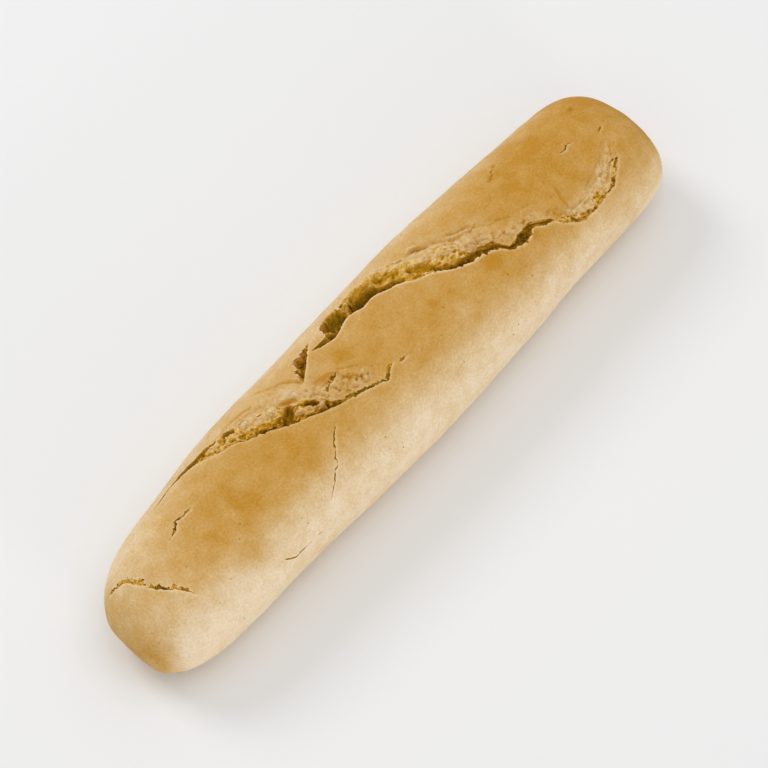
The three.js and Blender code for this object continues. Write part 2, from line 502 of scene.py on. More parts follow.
def cutter_block(name: str, steps: int, columns: int) -> tuple[bpy.types.Object, np.ndarray, np.ndarray, np.ndarray]:
    """A flat block of steps by columns faces, to be laid along the crust.

    Args:
        name: Name of the block.
        steps: Faces along it.
        columns: Faces across it.

    Returns:
        The block, each vertex's step and column, and which vertices are on its lid.
    """
    deselect_all()
    bpy.ops.mesh.primitive_grid_add(x_subdivisions=steps, y_subdivisions=columns, size=1.0)
    block = bpy.context.active_object
    block.name = name
    with editing(block):
        bpy.ops.mesh.select_all(action="SELECT")
        bpy.ops.mesh.extrude_region_move(TRANSFORM_OT_translate={"value": (0.0, 0.0, 1.0)})
        bpy.ops.mesh.select_all(action="SELECT")
        bpy.ops.mesh.normals_make_consistent(inside=False)
    points = read_rows(block.data.vertices, "co")
    i = np.rint((points[:, 0] + 0.5) * steps).astype(int)
    j = np.rint((points[:, 1] + 0.5) * columns).astype(int)
    return block, i, j, points[:, 2] > 0.5


class Tear(Enum):
    """How roughly dough is torn: heights of puffs, depths of pores and of the darkest painted shade, in mm."""

    DEEP = (0.8, 0.6, 6.5)
    SHALLOW = (0.5, 0.5, 3.2)
    CRACK = (0.3, 0.3, 2.4)

    def __init__(self, puffs: float, pores: float, darkest: float) -> None:
        """Names the three sizes."""
        self.puffs, self.pores, self.darkest = puffs, pores, darkest


class Grain(Enum):
    """The roughnesses of a burst: offset from its seed, size of the lumps in mm, layers, and height."""

    BEND = (0, 3.0, 3, 1.0)
    FINE_BEND = (1, 1.0, 3, 0.5)
    TURN = (2, 2.4, 3, 2.0)
    LIP = (0, 5.0, 3, 0.7)
    LIP_TEETH = (1, 1.4, 2, 3.2)
    FAR_EDGE = (2, 2.6, 3, 1.0)
    PUFFS = (3, 5.5, 4, 1.3)
    BILLOWS = (4, 3.0, 3, 0.8)
    FLUFF = (7, 1.2, 2, 0.7)
    FOLDS = (8, 12.0, 3, 1.0)
    SWAY = (9, 12.0, 3, 1.0)
    LEAN = (10, 2.4, 3, 1.0)
    LUMPS = (11, 4.5, 3, 0.5)
    FINE_LUMPS = (12, 1.7, 3, 0.4)
    CLOSING = (12, 4.0, 3, 1.0)
    TOOTHED = (13, 9.0, 3, 1.0)
    FINE_TEETH = (14, 0.8, 2, 1.0)
    FAR_TEETH = (15, 0.8, 2, 1.0)

    def __init__(self, offset: int, size: float, layers: int, height: float) -> None:
        """Names the four values."""
        self.offset, self.size, self.layers, self.height = offset, size, layers, height

    def at(self, points: np.ndarray, seed: int, size: float | None = None) -> np.ndarray:
        """The roughness at places in millimetres, one a row, in lumps of its own size or of a given one."""
        return self.height * rough(points, size or self.size, seed + self.offset, self.layers)


@dataclass(frozen=True)
class Stroke:
    """A groove, hole, ridge or lump drawn through places on the crust.

    Each place is: x, angle, half width. A negative depth raises. Soft is the share of the half width that
    slopes, ragged is how uneven the edge is, gold is how much browner the dough is in it, and in a burst's
    crumb how much darker its painted shade is, calm is how much smoother torn dough is in it, and coarse and
    bit are the height and size of the bits that it is rough with.
    Step is the spacing of its points, and reach_down is how far above or below the crust it still counts.
    """

    places: tuple[tuple[float, float, float], ...]
    depth: float
    soft: float = 0.9
    ragged: float = 0.3
    gold: float = 0.0
    calm: float = 0.0
    coarse: float = 0.0
    bit: float = 1.4
    step: float = 0.4
    reach_down: float = 12.0
    edge_reach: float = 1.5
    edge_grain: float = 1.4
    bit_seed: float = 71.0

    def profile(self, crust: Crust, points: np.ndarray) -> np.ndarray:
        """How far in the stroke places are.

        Args:
            crust: The crust that it is drawn on.
            points: Places in millimetres, one a row.

        Returns:
            1 along the middle of the stroke, falling to 0 at its edge.
        """
        rows = np.array(self.places)
        if len(rows) == 1:
            rows = np.repeat(rows, 2, axis=0)
            rows[1, 0] += self.step
        length = np.linalg.norm(np.diff(crust.points(rows[:, 0], rows[:, 1]), axis=0), axis=1).sum()
        x, angle, half_width = spline(rows, np.linspace(0.0, 1.0, max(int(length / self.step), 2))).T
        track = Track.along(crust, x, angle)
        margin = self.edge_reach * half_width.max() + self.reach_down
        low, high = track.place.min(axis=0) - margin, track.place.max(axis=0) + margin
        within = np.flatnonzero(np.all((points > low) & (points < high), axis=1))
        profile = np.zeros(len(points))
        if not len(within):
            return profile
        offset = points[within][:, None, :] - track.place
        lift = np.einsum("nkj,kj->nk", offset, track.out)
        apart = np.maximum(np.sum(offset**2, axis=2) - lift**2, 0.0)
        nearest = apart.argmin(axis=1)
        each = np.arange(len(within))
        reach = np.sqrt(apart[each, nearest]) / half_width[nearest]
        close = (reach < self.edge_reach) & (np.abs(lift[each, nearest]) < self.reach_down)
        within, reach = within[close], reach[close]
        reach = reach + self.ragged * rough(points[within], self.edge_grain, self.places[0][0])
        profile[within] = smooth_step(1.0, 1.0 - self.soft, reach)
        return profile

    def height(self, points: np.ndarray, profile: np.ndarray) -> np.ndarray:
        """How far the stroke raises places.

        Args:
            points: Places in millimetres, one a row.
            profile: How far in the stroke they are.

        Returns:
            The height at each place, in millimetres.
        """
        height = -self.depth * profile
        within = np.flatnonzero(profile * self.coarse)
        height[within] += self.coarse * profile[within] * rough(points[within], self.bit, self.bit_seed)
        return height


@dataclass(frozen=True)
class Skin:
    """The stretched skin beyond a burst's crumb, in millimetres.

    It dips below the crust, is folded along the burst, is torn in lumps close to the crumb, and ends in an edge
    that sways. Where it is narrower than full_width it fades. Shares of its width count from the crumb.
    """

    dip: float = 0.7
    fold: float = 0.45
    fold_width: float = 2.6
    fold_sharpness: float = 2.5
    full_width: float = 3.0
    least_width: float = 0.5
    sway: float = 1.6
    edge_at: float = 1.05
    edge: float = 0.06
    edge_sway: float = 0.12
    torn: Range = (1.0, 0.1)
    least_torn: float = 0.35
    fully_torn: float = 9.0
    margin: float = 1.5

    def strength(self, width: np.ndarray) -> np.ndarray:
        """How far skin of each width shows, from 0 to 1."""
        return np.clip(width / self.full_width, 0.0, 1.0)

    def beyond(self, past_crumb: np.ndarray, width: np.ndarray) -> np.ndarray:
        """Distances past the crumb as shares of the skin's width."""
        return past_crumb / np.maximum(width, self.least_width)


@dataclass(frozen=True)
class Burst:
    """A slash, tear or crack that opened in the oven, laid along its lower lip, in millimetres and degrees.

    Each row is: x, angle, width of the open crumb, width of the deep gap beside the lip, depth of the gap,
    depth of the crumb, width of the stretched skin beyond the crumb. Gold is how much browner its crumb is, and
    deep_painted_shade how much darker its painted shade is where it is deep. The lip is raised by lip_lift, and is
    pale at its rim by pale_lip, partly less browned crust and partly a painted highlight. It wanders by lip_jag and
    has fine lip_teeth past toothed_from. The far edge is as ragged as far_jag, in bits of far_grain, with fine
    far_teeth. Broken is how far the burst closes here and there, and wander how far its line strays.

    Each row of the section, from the rim over the lip to the rim over the far edge, is: share of the gap's
    width, share of the rest of the crumb's width, share of the gap's depth and share of the crumb's depth. Each
    of the holes is: spacing, offset from the seed, depth.
    """

    name: str
    rows: tuple[tuple[float, ...], ...]
    tear: Tear
    seed: int
    strokes: tuple[Stroke, ...] = ()
    gold: float = 0.0
    # Pale rim of the lip: partly less browned crust, partly a painted highlight
    pale_lip: float = 0.6
    lip_lift: float = 0.7
    lip_reach: float = 6.0
    lip_edge: float = 0.6
    lip_sway: float = 0.6
    lip_jag: float = 0.7
    lip_teeth: float = 0.0
    toothed_from: float = 0.0
    teeth_grow: Range = (-30.0, 5.0)
    far_jag: float = 1.2
    far_grain: float = 2.6
    far_teeth: float = 0.0
    roll_width: float = 4.0
    least_roll: float = 0.35
    # Painted shade: how much darker the crumb is drawn where it lies deep
    deep_painted_shade: float = 0.0
    skin: Skin = Skin()
    broken: float = 0.0
    closing: Range = (0.0, 0.5)
    pinch: float = 1.6
    most_pinched: float = 0.5
    wander: float = 0.0
    step: float = 0.36
    columns: int = 44
    rim: float = 1.2
    lid: float = 6.0
    fully_open: float = 4.0
    inside_depth: Range = (-0.5, 0.9)
    lean: float = 0.3
    puff_sink: float = 0.2
    end_fade: float = 3.0
    margin: float = 2.0
    fine_margin: float = 2.5
    lip_part: Range = (0.45, 0.3)
    holes: tuple[tuple[float, int, float], ...] = ((3.4, 5, 0.9), (1.7, 6, 0.7))
    section: tuple[tuple[float, float, float, float], ...] = (
        (-0.08, 0.0, -0.5, 0.0),
        (-0.16, 0.0, 0.6, 0.0),
        (0.2, 0.0, 1.0, 0.0),
        (0.9, 0.0, 0.85, 0.1),
        (1.0, 0.12, 0.1, 1.0),
        (1.0, 0.4, 0.0, 0.95),
        (1.0, 0.72, 0.0, 0.58),
        (1.0, 1.0, 0.0, 0.1),
        (1.0, 1.25, 0.0, -0.3),
    )

    @classmethod
    def crack(cls, name: str, seed: int, rows: tuple[tuple[float, float, float, float], ...],
              broken: float = 0.5, far_jag: float = 0.7, far_teeth: float = 0.0, gold: float = 0.0) -> "Burst":
        """A narrow crack.

        Args:
            name: Its name.
            seed: Offset of its roughness.
            rows: x, angle, width and depth of each place that it runs through.
            broken: How far it closes here and there.
            far_jag: How ragged its far edge is.
            far_teeth: Length of the fine teeth of its far edge.
            gold: How much browner its crumb is.

        Returns:
            The crack as a small burst.
        """
        full = tuple((x, angle, width, CRACK_GAP * width, depth, CRACK_CRUMB * depth, 0.0)
                     for x, angle, width, depth in rows)
        return cls(name, full, Tear.CRACK, seed, gold=gold, pale_lip=0.3, lip_lift=0.12, lip_reach=2.0,
                   lip_jag=0.35, far_jag=far_jag, far_grain=0.9, far_teeth=far_teeth, broken=broken, wander=0.35,
                   step=0.3, columns=12, fully_open=0.9)

    def track(self, crust: Crust) -> Track:
        """The line of the lower lip.

        Args:
            crust: The crust that it opens in.

        Returns:
            The track of the lip, in fine steps.
        """
        rows = np.array(self.rows)[:, :2]
        length = np.linalg.norm(np.diff(crust.points(*rows.T), axis=0), axis=1).sum()
        share = np.linspace(0.0, 1.0, int(length / self.step) + 1)
        if not self.wander:
            x, angle = spline(rows, share).T
            return Track.along(crust, x, angle)
        x, angle = straight(rows, share).T
        spot = crust.points(x, angle)
        x = x + self.wander * (Grain.BEND.at(spot, self.seed) + Grain.FINE_BEND.at(spot, self.seed))
        return Track.along(crust, x, angle + self.wander * Grain.TURN.at(spot, self.seed))

    def sizes(self, share: np.ndarray) -> np.ndarray:
        """Columns of the sizes at shares of the burst's length."""
        return straight(np.array(self.rows)[:, 2:], share).T

    def openness(self, share: np.ndarray) -> np.ndarray:
        """How far the burst is open at shares of its length, from 0 to 1."""
        return np.clip(self.sizes(share)[0] / self.fully_open, 0.0, 1.0)

    def weight(self, share: np.ndarray, past: np.ndarray) -> np.ndarray:
        """How far the burst shapes places at shares of its length and distances past its ends, from 0 to 1."""
        return self.openness(share) * smooth_step(self.end_fade, 0.0, past)

    def jag(self, place: np.ndarray, bed: np.ndarray, lip_share: np.ndarray, rolled: np.ndarray) -> np.ndarray:
        """How far the edges wander aside.

        Args:
            place: Places along the lip in millimetres, one a row.
            bed: Places on the torn bed in millimetres, one a row.
            lip_share: How far each place moves with the lip.
            rolled: How far each place moves with the far edge.

        Returns:
            The distance aside at each place, in millimetres.
        """
        teeth = Grain.LIP_TEETH.at(place, self.seed) * np.abs(Grain.TOOTHED.at(place, self.seed))
        teeth = self.lip_jag * (teeth + Grain.LIP.at(place, self.seed))
        low, high = self.teeth_grow
        toothed = smooth_step(self.toothed_from + low, self.toothed_from + high, place[:, 0])
        teeth = teeth + self.lip_teeth * toothed * Grain.FINE_TEETH.at(place, self.seed)
        far = self.far_jag * rolled * Grain.FAR_EDGE.at(bed, self.seed, self.far_grain)
        return lip_share * teeth + far + self.far_teeth * (1.0 - lip_share) * Grain.FAR_TEETH.at(place, self.seed)

    def crags(self, bed: np.ndarray) -> np.ndarray:
        """How far torn crumb stands up from its bed.

        Args:
            bed: Places on the torn bed in millimetres, one a row.

        Returns:
            The height at each place, in millimetres.
        """
        puffs = Grain.PUFFS.at(bed, self.seed) + np.abs(Grain.BILLOWS.at(bed, self.seed)) - self.puff_sink
        holes = sum(depth * pores(bed, spacing, self.seed + offset) for spacing, offset, depth in self.holes)
        return self.tear.puffs * (puffs + Grain.FLUFF.at(bed, self.seed)) - self.tear.pores * holes

    def cutter(self, crust: Crust) -> bpy.types.Object:
        """A block whose floor is the torn crumb, to be cut out of the loaf.

        Args:
            crust: The crust that it opens in.

        Returns:
            The cutter.
        """
        track = self.track(crust)
        steps = len(track.place) - 1
        block, i, j, lid = cutter_block(self.name + "_cutter", steps, self.columns)
        crumb, gap, gap_depth, crumb_depth, _ = self.sizes(i / steps)
        openness = self.openness(i / steps)
        of_gap, of_rest, of_gap_depth, of_crumb_depth = straight(np.array(self.section), j / self.columns).T
        lip_share = smooth_step(*self.lip_part, j / self.columns)
        place, aside, out = track.place[i], track.aside[i], track.out[i]
        closed = self.broken * smooth_step(*self.closing, Grain.CLOSING.at(place, self.seed))
        pinch = 1.0 - self.pinch * np.minimum(closed, self.most_pinched)
        depth = of_gap_depth * (gap_depth - closed) + of_crumb_depth * (crumb_depth - closed)
        inside = smooth_step(*self.inside_depth, depth) * openness
        distance = pinch * (of_gap * gap + of_rest * (crumb - gap))
        bed = place + aside * distance[:, None] - out * depth[:, None]
        rolled = np.clip((crumb - gap) / self.roll_width, self.least_roll, 1.0) * (1.0 - lip_share)
        distance = distance + openness * self.jag(place, bed, lip_share, rolled)
        distance = distance + self.lean * self.tear.puffs * inside * Grain.LEAN.at(bed, self.seed)
        drop = distance**2 / (2.0 * crust.crown_radius)
        bed = place + aside * distance[:, None] - out * (depth + drop)[:, None]
        drawn = [(stroke, stroke.profile(crust, bed)) for stroke in self.strokes]
        calm = np.clip(1.0 - sum(stroke.calm * profile for stroke, profile in drawn), 0.0, 1.0)
        height = inside * calm * self.crags(bed) - depth - drop
        height = height + sum(stroke.height(bed, profile) for stroke, profile in drawn)
        height = np.where((j == 0) | (j == self.columns), height + self.rim, height)
        lift = np.where(lid, self.lid, height)
        write_points(block, place + aside * distance[:, None] + out * lift[:, None])
        return block

    def relief(self, crust: Crust, points: np.ndarray) -> np.ndarray:
        """How far the crust about the burst is raised or sunk.

        Args:
            crust: The crust that it opens in.
            points: Places on the crust in millimetres, one a row.

        Returns:
            The height at each place, in millimetres.
        """
        track, skin = self.track(crust), self.skin
        share, aside, past = track.locate(points)
        crumb, _, _, _, width = self.sizes(share)
        near = (aside > -self.lip_reach) & (aside < crumb + skin.margin * width + self.margin) & (past < self.end_fade)
        height = np.zeros(len(points))
        if not near.any():
            return height
        share, aside, past, crumb, width = (values[near] for values in (share, aside, past, crumb, width))
        along = share * track.length
        flat = np.zeros(len(along))
        across = aside * Grain.FOLDS.size / skin.fold_width
        folds = Grain.FOLDS.at(np.stack([along, across, flat], axis=1), self.seed)
        sway = Grain.SWAY.at(np.stack([along, flat, flat], axis=1), self.seed)
        lip = self.lip_lift * (1.0 + self.lip_sway * sway) * smooth_step(-self.lip_reach, -self.lip_edge, aside)
        lip = lip * (aside < crumb / 2.0)
        beyond = skin.beyond(aside - crumb + skin.sway * sway, width)
        edge = skin.edge + skin.edge_sway * np.clip(1.0 + sway, 0.0, 2.0)
        on_skin = smooth_step(0.0, 1.0, (skin.edge_at - beyond) / edge) * (aside >= crumb / 2.0)
        torn = smooth_step(*skin.torn, beyond) * np.clip(skin.least_torn + crumb / skin.fully_torn, 0.0, 1.0)
        lumps = Grain.LUMPS.at(points[near], self.seed) + Grain.FINE_LUMPS.at(points[near], self.seed)
        folded = skin.fold * (1.0 - skin.fold_sharpness * np.abs(folds)) - skin.dip + torn * lumps
        height[near] = self.weight(share, past) * (lip + on_skin * folded * skin.strength(width))
        return height

    def zone(self, crust: Crust, points: np.ndarray) -> np.ndarray:
        """Which places lie near enough to the burst to need fine faces.

        Args:
            crust: The crust that it opens in.
            points: Places in millimetres, one a row.

        Returns:
            Whether each place is near enough.
        """
        share, aside, past = self.track(crust).locate(points)
        crumb, _, _, _, width = self.sizes(share)
        beside = (aside > -self.fine_margin) & (aside < crumb + width + self.fine_margin)
        return beside & (past < self.fine_margin)


@dataclass(frozen=True)
class Blotch:
    """A darker or paler patch of the crust: its place, its reach in millimetres, and its strength."""

    x: float
    angle: float
    reach: float
    strength: float


@dataclass(frozen=True)
class Bake:
    """How brown the oven made each part of the crust, from 0, pale, to 1, dark gold.

    The tones go with the angles about the loaf's axis, and the run of tones leans along the near side. A range
    says over which lengths, angles or shares of facing an effect sets in. Each of the mottles, and the blotches'
    uneven edge, is: height, size in millimetres, seed.
    """

    angles: tuple[float, ...] = (-180, -150, -110, -75, -60, -45, -30, -15, 0, 15, 30, 45, 60, 75, 110, 150, 180)
    tones: tuple[float, ...] = (0.72, 0.66, 0.1, 0.06, 0.14, 0.38, 0.72, 0.82, 0.82, 0.8, 0.7, 0.48, 0.34, 0.24, 0.16,
                                0.66, 0.72)
    lean: float = 0.09
    lean_below: Range = (10.0, -30.0)
    lean_above: Range = (-120.0, -80.0)
    lean_from: Range = (-128.0, -98.0)
    pale_nose: float = 0.4
    pale_from: Range = (-90.0, -122.0)
    golden_end: float = 0.12
    golden_from: Range = (45.0, 100.0)
    golden_angles: Range = (-30.0, 0.0)
    nose_tip: float = 0.62
    tip_facing: Range = (0.45, 0.95)
    end_face: float = 1.0
    end_facing: Range = (0.25, 0.8)
    end_angles: Range = (-85.0, -10.0)
    axis_height: float = 15.0
    axis_reach: float = 30.0
    mottles: tuple[tuple[float, float, int], ...] = ((0.09, 26.0, 101), (0.06, 7.0, 102))
    blotch_edge: tuple[float, float, int] = (1.2, 4.0, 103)
    blotches: tuple[Blotch, ...] = (
        Blotch(-83.6, -13.0, 2.4, 0.22),
        Blotch(-78.0, -12.0, 3.0, 0.12),
        Blotch(-84.0, 4.0, 2.5, 0.12),
        Blotch(-53.0, -20.0, 5.0, 0.14),
        Blotch(-92.0, -43.0, 5.0, 0.3),
        Blotch(21.6, -9.0, 2.2, 0.3),
        Blotch(-14.0, 12.0, 4.0, 0.25),
        Blotch(49.2, -17.8, 3.4, 0.35),
        Blotch(57.5, -24.5, 2.0, 0.25),
        Blotch(69.4, -29.0, 2.0, 0.25),
        Blotch(72.0, 13.0, 12.0, 0.06),
        Blotch(100.0, 26.0, 6.0, 0.12),
        Blotch(-112.0, -15.0, 8.0, 0.05),
        Blotch(-132.0, -20.0, 9.0, 0.05),
        Blotch(130.0, 58.0, 16.0, 0.35),
        Blotch(130.0, -15.0, 10.0, -0.12),
        Blotch(132.0, 5.0, 16.0, -0.1),
        Blotch(-131.0, 15.0, 12.0, -0.08),
        Blotch(-10.0, -45.0, 10.0, -0.12),
        Blotch(112.0, -80.0, 22.0, 0.08),
        Blotch(-139.0, -58.0, 5.0, 0.2),
    )

    def tone(self, crust: Crust, points: np.ndarray) -> np.ndarray:
        """The browning of places on the crust.

        Args:
            crust: The crust.
            points: Places in millimetres, one a row.

        Returns:
            The browning at each place.
        """
        x = points[:, 0]
        angle = np.degrees(np.arctan2((points[:, 1] - crust.centre_line) / crust.half_width,
                                      (points[:, 2] - self.axis_height) / self.axis_reach))
        lean = self.lean * x * smooth_step(*self.lean_below, angle) * smooth_step(*self.lean_above, angle)
        tone = np.interp(angle + lean * smooth_step(*self.lean_from, x), self.angles, self.tones)
        tone = tone * (1.0 - self.pale_nose * smooth_step(*self.pale_from, x))
        tone = tone + self.golden_end * smooth_step(*self.golden_from, x) * smooth_step(*self.golden_angles, angle)
        ahead = crust.outward(x, crust.angle_of(points))[:, 0]
        tone = tone + (self.nose_tip - tone) * smooth_step(*self.tip_facing, -ahead)
        at_end = smooth_step(*self.end_facing, ahead)
        tone = tone + (self.end_face - tone) * at_end * smooth_step(*self.end_angles, angle)
        for height, size, seed in self.mottles:
            tone = tone + height * rough(points, size, seed)
        height, size, seed = self.blotch_edge
        uneven = height * rough(points, size, seed)
        for patch in self.blotches:
            spot = crust.points(np.array([patch.x]), np.array([patch.angle]))
            away = np.linalg.norm(points - spot, axis=1) + uneven
            tone = tone + patch.strength * bell(np.maximum(away, 0.0), 0.0, patch.reach)
        return np.clip(tone, 0.0, 1.0)


class Nodes:
    """A material's or group's node tree, with short calls to add and join nodes."""

    def __init__(self, tree: bpy.types.NodeTree) -> None:
        """Starts on an empty tree."""
        self.tree = tree
        tree.nodes.clear()

    @classmethod
    def finish(cls, name: str) -> tuple[bpy.types.Material, "Nodes", bpy.types.NodeSocket]:
        """Starts a material.

        Args:
            name: Name of the material.

        Returns:
            The material, its nodes, and the socket of the piece's own coordinates.
        """
        made = bpy.data.materials.new(name)
        made.use_nodes = True
        nodes = cls(made.node_tree)
        return made, nodes, nodes.add("ShaderNodeTexCoord").outputs["Object"]

    def surface(self, **inputs: object) -> None:
        """Adds the shader, with its inputs by socket name, and joins it to the material's output."""
        shader = self.add("ShaderNodeBsdfPrincipled", None, **inputs)
        self.feed(self.add("ShaderNodeOutputMaterial"), "Surface", shader.outputs["BSDF"])

    def add(self, kind: str, settings: dict[str, object] | None = None, **inputs: object) -> bpy.types.Node:
        """Adds a node.

        Args:
            kind: Blender's name of the node type.
            settings: Values of the node's own properties.
            inputs: Values or output sockets for its inputs, by socket name with _ for a blank.

        Returns:
            The node.
        """
        node = self.tree.nodes.new(kind)
        for name, value in (settings or {}).items():
            setattr(node, name, value)
        for name, value in inputs.items():
            self.feed(node, name.replace("_", " "), value)
        return node

    def feed(self, node: bpy.types.Node, socket: str | int, value: object) -> None:
        """Joins an output to an input, or sets the input's own value.

        Args:
            node: The node.
            socket: Name or place of its input.
            value: A value or an output socket.
        """
        if isinstance(value, bpy.types.NodeSocket):
            self.tree.links.new(value, node.inputs[socket])
        else:
            node.inputs[socket].default_value = value

    def math(self, operation: str, *values: object, clamp: bool = False) -> bpy.types.NodeSocket:
        """A sum on numbers.

        Args:
            operation: Blender's name of the sum.
            values: Numbers or output sockets.
            clamp: Whether the result is kept from 0 to 1.

        Returns:
            The output socket.
        """
        node = self.add("ShaderNodeMath", {"operation": operation, "use_clamp": clamp})
        for k, value in enumerate(values):
            self.feed(node, k, value)
        return node.outputs[0]

    def plus(self, first: object, second: object) -> bpy.types.NodeSocket:
        """Two numbers or output sockets added."""
        return self.math("ADD", first, second)

    def times(self, first: object, second: object) -> bpy.types.NodeSocket:
        """Two numbers or output sockets multiplied."""
        return self.math("MULTIPLY", first, second)

    def blend(self, share: object, first: object, second: object, mode: str = "MIX") -> bpy.types.NodeSocket:
        """A mix of two colours.

        Args:
            share: How much of the second, a number or an output socket.
            first: The first colour or socket.
            second: The second colour or socket.
            mode: Blender's name of the way to mix.

        Returns:
            The output socket.
        """
        node = self.add("ShaderNodeMix", {"data_type": "RGBA", "blend_type": mode})
        for k, value in ((MIX_SHARE, share), (MIX_FIRST, first), (MIX_SECOND, second)):
            self.feed(node, k, value)
        return node.outputs[MIX_RESULT]

    def ramp(self, share: object, stops: tuple[tuple[float, Colour], ...]) -> bpy.types.NodeSocket:
        """A run of colours.

        Args:
            share: Where on the run, a number or an output socket.
            stops: Places on the run and their colours.

        Returns:
            The output socket.
        """
        node = self.add("ShaderNodeValToRGB", None, Fac=share)
        band = node.color_ramp.elements
        while len(band) < len(stops):
            band.new(0.5)
        for element, (place, tint) in zip(band, stops):
            element.position = place
            element.color = tint
        return node.outputs["Color"]

    def attribute(self, name: str) -> bpy.types.NodeSocket:
        """A number stored on the piece."""
        return self.add("ShaderNodeAttribute", {"attribute_name": name}).outputs["Fac"]

    def lumps(self, place: object, size: float, detail: float = 2.0) -> bpy.types.NodeSocket:
        """Cloudy noise.

        Args:
            place: Socket of the coordinates, in metres.
            size: Size of the lumps, in millimetres.
            detail: How many finer layers.

        Returns:
            The output socket, from about 0.2 to 0.8.
        """
        node = self.add("ShaderNodeTexNoise", None, Vector=place, Scale=1.0 / (size * MM), Detail=detail)
        return node.outputs["Fac"]

    def mottle(self, place: object, size: float, detail: float, strength: float) -> bpy.types.NodeSocket:
        """Cloudy noise about 0, with the first arguments of lumps and a strength."""
        return self.times(self.math("SUBTRACT", self.lumps(place, size, detail), CLOUD_MIDDLE), strength)


@dataclass(frozen=True)
class FineGrain:
    """The fine grain of baked dough, shared by the crust and the crumb as a node group.

    Finer is how much smaller the fine bits are than the coarse ones, and the shares mix the two.
    """

    name: str = "fine_grain"
    finer: float = 2.7
    coarse_share: float = 0.65
    fine_share: float = 0.35
    coarse_detail: float = 3.0
    fine_detail: float = 2.0

    def group(self) -> bpy.types.NodeTree:
        """The node group, built once.

        Returns:
            A group with the grain's size and contrast as inputs, and its height and tint as outputs.
        """
        tree = bpy.data.node_groups.get(self.name)
        if tree:
            return tree
        tree = bpy.data.node_groups.new(self.name, "ShaderNodeTree")
        made = Nodes(tree)
        sockets = (("Vector", "INPUT", "NodeSocketVector"), ("Scale", "INPUT", "NodeSocketFloat"),
                   ("Contrast", "INPUT", "NodeSocketFloat"), ("Height", "OUTPUT", "NodeSocketFloat"),
                   ("Tint", "OUTPUT", "NodeSocketFloat"))
        for socket, way, kind in sockets:
            tree.interface.new_socket(socket, in_out=way, socket_type=kind)
        given = made.add("NodeGroupInput").outputs
        finer = made.times(given["Scale"], self.finer)
        coarse, fine = (made.add("ShaderNodeTexNoise", None, Vector=given["Vector"], Scale=scale, Detail=detail)
                        for scale, detail in ((given["Scale"], self.coarse_detail), (finer, self.fine_detail)))
        height = made.plus(made.times(coarse.outputs["Fac"], self.coarse_share),
                           made.times(fine.outputs["Fac"], self.fine_share))
        tint = made.times(made.math("SUBTRACT", height, CLOUD_MIDDLE), given["Contrast"])
        result = made.add("NodeGroupOutput")
        made.feed(result, "Height", height)
        made.feed(result, "Tint", tint)
        return tree

    def place(self, nodes: Nodes, place: object, size: float, contrast: float) -> bpy.types.Node:
        """Puts the grain in a material.

        Args:
            nodes: The material's nodes.
            place: Socket of the coordinates.
            size: Size of the coarse grain, in millimetres.
            contrast: How strongly it tints.

        Returns:
            The group's node.
        """
        node = nodes.add("ShaderNodeGroup", {"node_tree": self.group()})
        nodes.feed(node, "Vector", place)
        nodes.feed(node, "Scale", 1.0 / (size * MM))
        nodes.feed(node, "Contrast", contrast)
        return node


@dataclass(frozen=True)
class BakedTint:
    """The run of crust colours from cream to dark gold, shared by the crust and the crumb as a node group."""

    name: str = "baked_tint"
    stops: tuple[tuple[float, Colour], ...] = (
        (0.0, colour(238, 216, 184)),
        (0.25, colour(227, 198, 153)),
        (0.5, colour(215, 176, 116)),
        (0.75, colour(204, 157, 82)),
        (1.0, colour(193, 138, 44)),
    )

    def place(self, nodes: Nodes, tone: object) -> bpy.types.NodeSocket:
        """Puts the run of colours in a material.

        Args:
            nodes: The material's nodes.
            tone: Socket of the browning, from 0 to 1.

        Returns:
            The socket of the colour.
        """
        tree = bpy.data.node_groups.get(self.name)
        if not tree:
            tree = bpy.data.node_groups.new(self.name, "ShaderNodeTree")
            made = Nodes(tree)
            tree.interface.new_socket("Browning", in_out="INPUT", socket_type="NodeSocketFloat")
            tree.interface.new_socket("Colour", in_out="OUTPUT", socket_type="NodeSocketColor")
            tint = made.ramp(made.add("NodeGroupInput").outputs["Browning"], self.stops)
            made.feed(made.add("NodeGroupOutput"), "Colour", tint)
        node = nodes.add("ShaderNodeGroup", {"node_tree": tree}, Browning=tone)
        return node.outputs["Colour"]


